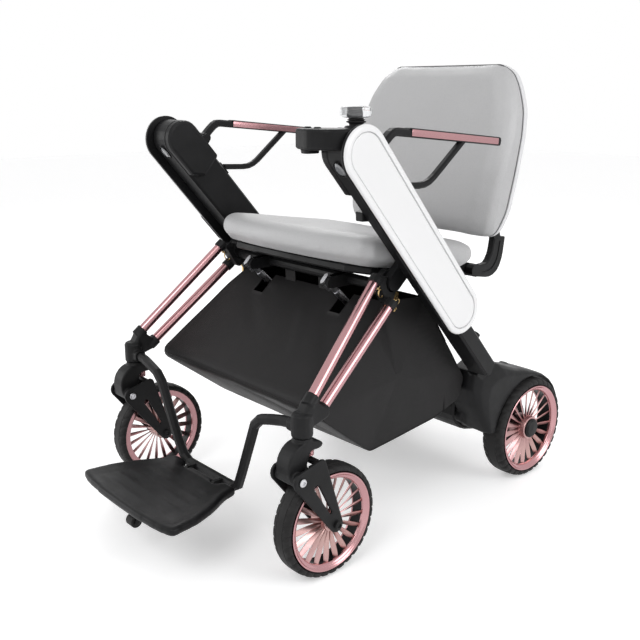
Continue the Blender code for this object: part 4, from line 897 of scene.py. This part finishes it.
PAD_VOXEL = 0.005
CLOTH_FRAMES = 20
CLOTH = {"quality": 6, "mass": 0.3, "tension_stiffness": 15.0, "compression_stiffness": 15.0,
         "bending_stiffness": 1.5, "use_pressure": True}


def evened(pad, steps, rounds):
    """Moves of a mesh's points, averaged over and over with their neighbours'."""
    ends = np.array([edge.vertices[:] for edge in pad.data.edges])
    moves = np.array(steps)
    count = np.bincount(ends.ravel(), minlength=len(moves))[:, None]
    for _ in range(rounds):
        total = np.zeros_like(moves)
        np.add.at(total, ends[:, 0], moves[ends[:, 1]])
        np.add.at(total, ends[:, 1], moves[ends[:, 0]])
        moves = moves * 0.4 + total / np.maximum(count, 1) * 0.6
    return [Vector(move) for move in moves]


def blown(pad, start, pressure, pins):
    """Where the pad's points come to rest when it is blown up as cloth."""
    cloth = pad.modifiers.new("cloth", "CLOTH")
    for key, value in CLOTH.items():
        setattr(cloth.settings, key, value)
    cloth.settings.uniform_pressure_force = pressure
    cloth.settings.effector_weights.gravity = 0.0
    if pins:
        group = pad.vertex_groups.new(name="held")
        group.add([k for k, point in enumerate(start) if pins(point)], 1.0, "REPLACE")
        cloth.settings.vertex_group_mass = "held"
    cloth.point_cache.frame_start, cloth.point_cache.frame_end = 1, CLOTH_FRAMES
    for number in range(1, CLOTH_FRAMES + 1):
        SCENE.frame_set(number)
    result = pad.evaluated_get(bpy.context.evaluated_depsgraph_get())
    moved = [vertex.co.copy() for vertex in result.to_mesh().vertices]
    result.to_mesh_clear()
    pad.modifiers.clear()
    SCENE.frame_set(1)
    return moved


def swollen(name, source, shrink, cap, pressure, pins=None):
    """A stuffed copy of a CAD pad: each point is blown out, no further than cap."""
    pad = new_object(name, loops_of(source), "grey_leather")
    low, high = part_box(source)
    middle = (low + high) / 2
    half = (high - low) / 2
    for vertex in pad.data.vertices:
        for axis in range(3):
            reach = vertex.co[axis] - middle[axis]
            vertex.co[axis] = middle[axis] + reach * (1.0 - shrink / half[axis])
    remeshed(pad, PAD_VOXEL)
    bpy.context.view_layer.update()
    settle(pad)
    smoothed(pad, 3)
    settle(pad)
    start = [vertex.co.copy() for vertex in pad.data.vertices]
    steps = []
    for before, after in zip(start, blown(pad, start, pressure, pins)):
        step = after - before
        steps.append(step * min(1.0, cap / max(step.length, 1e-9)))
    for vertex, before, step in zip(pad.data.vertices, start, evened(pad, steps, 40)):
        vertex.co = before + step
    smoothed(pad, 3)
    pad.modifiers.new("finer", "SUBSURF").levels = 1
    settle(pad)
    fitted(pad, low, high)
    return pad


TILT = radians(9.0)
SEAT_UP = Vector((0.0, sin(TILT), cos(TILT)))
SEAT_AT = at(0.0, 0.19, 0.503)
SEAT_GAP = 0.0008  # between the pad and the pan
SEAT_ROOM = (Vector((0.001, 0.004, 0.0)), Vector((0.001, 0.003, 0.004)))  # past the CAD pad


def above_pan(point):
    """How far a point lies above the seat pan's top."""
    return (point - SEAT_AT).dot(SEAT_UP)


def make_seat():
    low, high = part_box("seat_cushion")
    low, high = low - SEAT_ROOM[0], high + SEAT_ROOM[1]
    pad = swollen("seat_pad", "seat_cushion", 0.002, 0.005, 3.0, lambda p: above_pan(p) < 0.012)
    for vertex in pad.data.vertices:
        sunk = SEAT_GAP - above_pan(vertex.co)
        if sunk > 0.0:
            vertex.co += SEAT_UP * sunk
        for axis in range(3):
            vertex.co[axis] = min(max(vertex.co[axis], low[axis]), high[axis])
    return pad


seat_pad = dressed(make_seat(), "seat", "seat_cushion")


# Backrest: the levels' heights, half widths and rears

BACK_LOW, BACK_HIGH = 0.512, 0.849
BACK_LEVELS = (
    (0.512, 0.56, 0.64, 0.711, 0.76, 0.805, 0.835, 0.849),
    (0.199, 0.208, 0.212, 0.2145, 0.209, 0.191, 0.172, 0.153),
    (0.592, 0.614, 0.631, 0.643, 0.652, 0.659, 0.663, 0.662))
BACK_PLACES = [BACK_LOW + (BACK_HIGH - BACK_LOW) * k / 60 for k in range(61)]
SHELL_DEPTH = 0.02
TRAY_DEPTH = 0.007
TRAY_FROM = 0.55  # above the ends of the bracket's tongues
SHELL_RINGS = 72
# The shell's edge from the tray outwards: in from the half width, behind the seam.
SHELL_LIP = ((0.0048, 0.0004), (0.0034, -0.0006), (0.002, -0.0011), (0.0006, -0.0006),
             (0.0, 0.0006), (0.0004, 0.0018), (0.001, 0.0028), (0.0008, 0.004))


def eased(values):
    """A broken line through the levels, taken at even steps and rounded off."""
    line = list(np.interp(BACK_PLACES, BACK_LEVELS[0], values))
    for _ in range(5):
        inner = [(a + b * 2 + c) / 4 for a, b, c in zip(line, line[1:], line[2:])]
        line = line[:1] + inner + line[-1:]
    return line


BACK_LINES = [eased(values) for values in BACK_LEVELS[1:]]


def back_section(z):
    """Half the back's width, its seam and its rear at a height."""
    half, rear = (float(np.interp(z, BACK_PLACES, line)) for line in BACK_LINES)
    inset = 0.0
    for gap, deep, size in ((z - BACK_LOW, 0.02, 0.012), (BACK_HIGH - z, 0.024, 0.016)):
        if gap < deep:
            inset += size * (1.0 - sqrt(max(0.0, 1.0 - (1.0 - gap / deep) ** 2)))
    return half - inset, rear - SHELL_DEPTH - inset * 0.3, rear - inset * 0.6


def tray_depth(z):
    """How deep the shell is hollowed for the pad: not at its ends, nor over the tongues."""
    return TRAY_DEPTH * min(max(min(z - TRAY_FROM, BACK_HIGH - 0.0022 - z) / 0.001, 0.0), 1.0)


def make_shell():
    """The white shell behind the pad, with a fine raised lip along the seam."""
    rings = []
    for k in range(SHELL_RINGS + 1):
        share = 0.5 - 0.5 * cos(pi * k / SHELL_RINGS)
        z = BACK_LOW + (BACK_HIGH - BACK_LOW) * share
        half, seam, rear = back_section(z)
        edge = [(half - 0.005, seam + 0.0006 + tray_depth(z))]
        edge += [(half - less, seam + more) for less, more in SHELL_LIP]
        depth = rear - seam
        for step in range(1, 9):
            a = pi / 2 * step / 9
            edge.append((half - 0.0008 - 0.016 * (1 - cos(a)),
                         seam + 0.004 + (depth - 0.0046) * sin(a)))
        edge += [(half * share, rear - 0.0006 + 0.0045 * (1 - share * share / 0.83))
                 for share in (0.88, 0.76, 0.62, 0.46, 0.3, 0.15)]
        rings.append([at(px, py, z) for px, py in edge] + [at(0.0, rear + 0.0039, z)]
                     + [at(-px, py, z) for px, py in edge[::-1]])
    shaped("back_shell", rings, "shell_white", "back", "backrest_shell", angle=60)


def make_back():
    """The pad of the back, kept inside the shell's lip."""
    pad = swollen("back_pad", "backrest_cushion", 0.001, 0.007, 3.5)
    for vertex in pad.data.vertices:
        point = vertex.co
        point.z = min(max(point.z, BACK_LOW + 0.001), BACK_HIGH - 0.001)
        half, seam, _ = back_section(point.z)
        depth = seam - MIDDLE - point.y
        if depth < 0.0008:
            point.z = min(point.z, BACK_HIGH - 0.0042)
        point.y = min(point.y, seam - MIDDLE + max(tray_depth(point.z) - 0.0008, -0.0002))
        wide = half - 0.0055 + 0.0032 * min(max(depth / 0.006, 0.0), 1.0)
        point.x = min(max(point.x, -wide), wide)
    return pad


make_shell()
back_pad = dressed(make_back(), "back", "backrest_cushion")


# Bag

# The section from the front hem over the floor to the rear: y, z and half width.
BAG_RING = (
    (0.243, 0.434, 0.202), (0.205, 0.402, 0.219), (0.058, 0.284, 0.2475), (0.06, 0.266, 0.2475),
    (0.194, 0.164, 0.226), (0.262, 0.172, 0.227), (0.372, 0.185, 0.228), (0.44, 0.206, 0.2285),
    (0.455, 0.25, 0.2285), (0.338, 0.43, 0.218))
BAG_STEP = 0.0085
BAG_REAR = 0.405  # the rear wall, between its two flared edges
BAG_FLARE = 0.86
BAG_MIDDLE = (0.26, 0.29, 0.231)
SIDE_SHARES = (0.93, 0.84, 0.74, 0.63, 0.52, 0.41, 0.3, 0.19, 0.09)
STRUT_AT = 0.115
FRONT_SLIT, REAR_SLIT = 0.0145, 0.019  # half widths of the slits for the struts
FRONT_SLIT_Y = 0.206
REAR_SLIT_LOW, REAR_SLIT_HIGH = 0.228, 0.3
CLOTH_THICKNESS = 0.0014
# A crease's start and end (x, y, z), its width and how far it moves the cloth.
FRONT_CREASES = (
    ((0.1, 0.2, 0.4), (0.235, 0.07, 0.29), 0.016, -0.0016),
    ((-0.16, 0.215, 0.41), (-0.02, 0.13, 0.34), 0.014, -0.0014),
    ((0.02, 0.225, 0.42), (0.09, 0.12, 0.335), 0.012, 0.0012),
    ((-0.235, 0.062, 0.283), (-0.05, 0.115, 0.33), 0.02, -0.0018),
    ((-0.05, 0.062, 0.266), (0.21, 0.185, 0.172), 0.018, -0.0042))
SIDE_CREASES = (
    ((0.235, 0.1, 0.32), (0.232, 0.3, 0.2), 0.014, 0.0022),
    ((0.235, 0.27, 0.42), (0.228, 0.38, 0.2), 0.016, -0.0026),
    ((0.23, 0.33, 0.41), (0.228, 0.43, 0.26), 0.011, 0.0018),
    ((0.24, 0.17, 0.37), (0.228, 0.21, 0.18), 0.018, -0.0016))
FRONT_SAG, SIDE_SAG = 0.0035, 0.0022
STRAP_RISE = ((0.2405, 0.414), (0.2405, 0.4285), (0.2402, 0.44), (0.2395, 0.4519))
STRAPS, STRAP_WIDTH, STRAP_HALF = (-0.065, 0.035), 0.03, 0.0008


def bag_outline():
    """The bag's section in even steps, with eased corners."""
    points = []
    for a, b in zip(BAG_RING, BAG_RING[1:]):
        a, b = Vector(a), Vector(b)
        count = max(2, round((b - a).length / BAG_STEP))
        points += [a.lerp(b, k / count) for k in range(count)]
    points.append(Vector(BAG_RING[-1]))
    inner = [a * 0.25 + b * 0.5 + c * 0.25 for a, b, c in zip(points, points[1:], points[2:])]
    return [points[0]] + inner + [points[-1]]


def crease(point, start, end, width):
    """1 on the line from start to end, falling to 0 beside it."""
    start, end = Vector(start), Vector(end)
    run = end - start
    share = min(max((point - start).dot(run) / run.length_squared, 0.0), 1.0)
    gap = (point - start - run * share).length / width
    return exp(-gap * gap) * sin(pi * min(max(share, 0.04), 0.96))


def split(body, spot, normal):
    """Cuts every face that a plane crosses."""
    geometry = body.verts[:] + body.edges[:] + body.faces[:]
    bmesh.ops.bisect_plane(body, geom=geometry, dist=1e-5, plane_co=spot, plane_no=Vector(normal))


def bag_walls(outline):
    """The front, the floor and the rear in one length, and a panel at each side."""
    body = bmesh.new()
    shares = [-1.0 + 2.0 * k / 52 for k in range(53)]
    shares = [s for s in shares if abs(abs(s) - BAG_FLARE) > 0.012]
    shares = sorted(shares + [0.858, 0.862, -0.858, -0.862])
    rows = []
    for share in shares:
        furthest = BAG_REAR if abs(share) < BAG_FLARE else 1.0
        rows.append([body.verts.new(at(share * wide, min(y, furthest), z))
                     for y, z, wide in outline])
    for low, high in zip(rows, rows[1:]):
        for k in range(len(outline) - 1):
            body.faces.new((low[k], low[k + 1], high[k + 1], high[k]))
    closing = [outline[-1].lerp(outline[0], k / 10) for k in range(1, 10)]
    for sign, row in ((1, rows[-1]), (-1, rows[0])):
        previous = row + [body.verts.new(at(sign * p[2], p[0], p[1])) for p in closing]
        edge = [vertex.co.copy() for vertex in previous]
        centre = at(sign * BAG_MIDDLE[2], BAG_MIDDLE[0], BAG_MIDDLE[1])
        for part in SIDE_SHARES:
            inner = [body.verts.new(centre.lerp(point, part)) for point in edge]
            for k in range(len(edge)):
                after = (k + 1) % len(edge)
                body.faces.new((previous[k], previous[after], inner[after], inner[k]))
            previous = inner
        body.faces.new(previous)
    merge(body, 1e-5)
    bmesh.ops.recalc_face_normals(body, faces=body.faces[:])
    return body


def in_slit(spot):
    """Whether a point (x, y, z) of the cloth lies in a slit for a strut."""
    x, y, z = spot
    beside = abs(abs(x) - STRUT_AT)
    front = beside < FRONT_SLIT and FRONT_SLIT_Y < y < 0.25 and z > 0.38
    rear = beside < REAR_SLIT and abs(y - BAG_REAR) < 0.002 and REAR_SLIT_LOW < z < REAR_SLIT_HIGH
    return front or rear


def cut_slits(body):
    for sign in (1, -1):
        for edge in (-REAR_SLIT, -FRONT_SLIT, FRONT_SLIT, REAR_SLIT):
            split(body, Vector((sign * STRUT_AT + edge, 0, 0)), (1, 0, 0))
    split(body, at(0, FRONT_SLIT_Y, 0), (0, 1, 0))
    for level in (REAR_SLIT_LOW, REAR_SLIT_HIGH):
        split(body, at(0, 0, level), (0, 0, 1))
    middles = [(face, face.calc_center_median()) for face in body.faces]
    gone = [face for face, spot in middles if in_slit((spot.x, spot.y + MIDDLE, spot.z))]
    bmesh.ops.delete(body, geom=gone, context="FACES")


def cloth_move(vertex):
    """How far the creases and the sag move a point of the bag."""
    x, y, z = vertex.co.x, vertex.co.y + MIDDLE, vertex.co.z
    here = Vector((x, y, z))
    push = 0.0
    if vertex.normal.y < -0.3 or vertex.normal.z < -0.3:
        for start, end, width, depth in FRONT_CREASES:
            push += crease(here, start, end, width) * depth
        push -= (FRONT_SAG * max(0.0, cos(x / 0.235 * pi / 2))
                 * max(0.0, sin((z - 0.17) / 0.26 * pi)))
    if abs(vertex.normal.x) > 0.6:
        for start, end, width, depth in SIDE_CREASES:
            push += crease(Vector((abs(x), y, z)), start, end, width) * depth
        push -= SIDE_SAG
    push += 0.0007 * noise.noise(here * 16.0)
    return vertex.normal * push * (0.0 if vertex.is_boundary else 1.0)


def piping(name, points):
    """A thin cord sewn along a seam of the bag."""
    points = [surface.find(point)[0] for point in points]
    points = [a for a, b in zip(points, points[1:] + [None]) if b is None or (a - b).length > 0.002]
    cord = tube(name, points, 0.0011, "bag_fabric", up=Vector((0.3, 0.2, 0.93)))
    return cord


def strap(name, low):
    """A strap from the bag's front hem up to the cross tube."""
    rings = []
    for y, z in STRAP_RISE:
        front, rear = y - STRAP_HALF, y + STRAP_HALF
        rings.append([at(low, rear, z), at(low, front, z), at(low + STRAP_WIDTH, front, z),
                      at(low + STRAP_WIDTH, rear, z)])
    piece = new_object(name, skin(rings, capped=True), "bag_fabric", angle=40)
    return piece


outline = bag_outline()
body = bag_walls(outline)
cut_slits(body)
body.normal_update()
for vertex, move in [(vertex, cloth_move(vertex)) for vertex in body.verts]:
    vertex.co += move
bag_area = sum(face.calc_area() for face in body.faces)
surface = kdtree.KDTree(len(body.verts))
for k, vertex in enumerate(body.verts):
    surface.insert(vertex.co, k)
surface.balance()
bag = new_object("cloth_bag", body, "bag_fabric", angle=50)
thick = bag.modifiers.new("thick", "SOLIDIFY")
thick.thickness, thick.offset = CLOTH_THICKNESS, -1.0
settle(bag)
bag.data.set_sharp_from_angle(angle=radians(60))
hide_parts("bag")

hem_y, hem_z, hem_wide = min(outline, key=lambda point: point[0])
sewn = [piping("bag_piping_front", [at(hem_wide * (-1 + 2 * k / 60), hem_y, hem_z)
                                    for k in range(61)])]
for side, sign in SIDES:
    sewn.append(piping("bag_piping_" + side, [at(sign * wide, y, z) for y, z, wide in outline
                                              if y < 0.402 or z < 0.19]))
for number, low in enumerate(STRAPS):
    sewn.append(strap("bag_strap_%d" % (number + 1), low))
for piece in [bag] + sewn:
    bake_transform(piece)
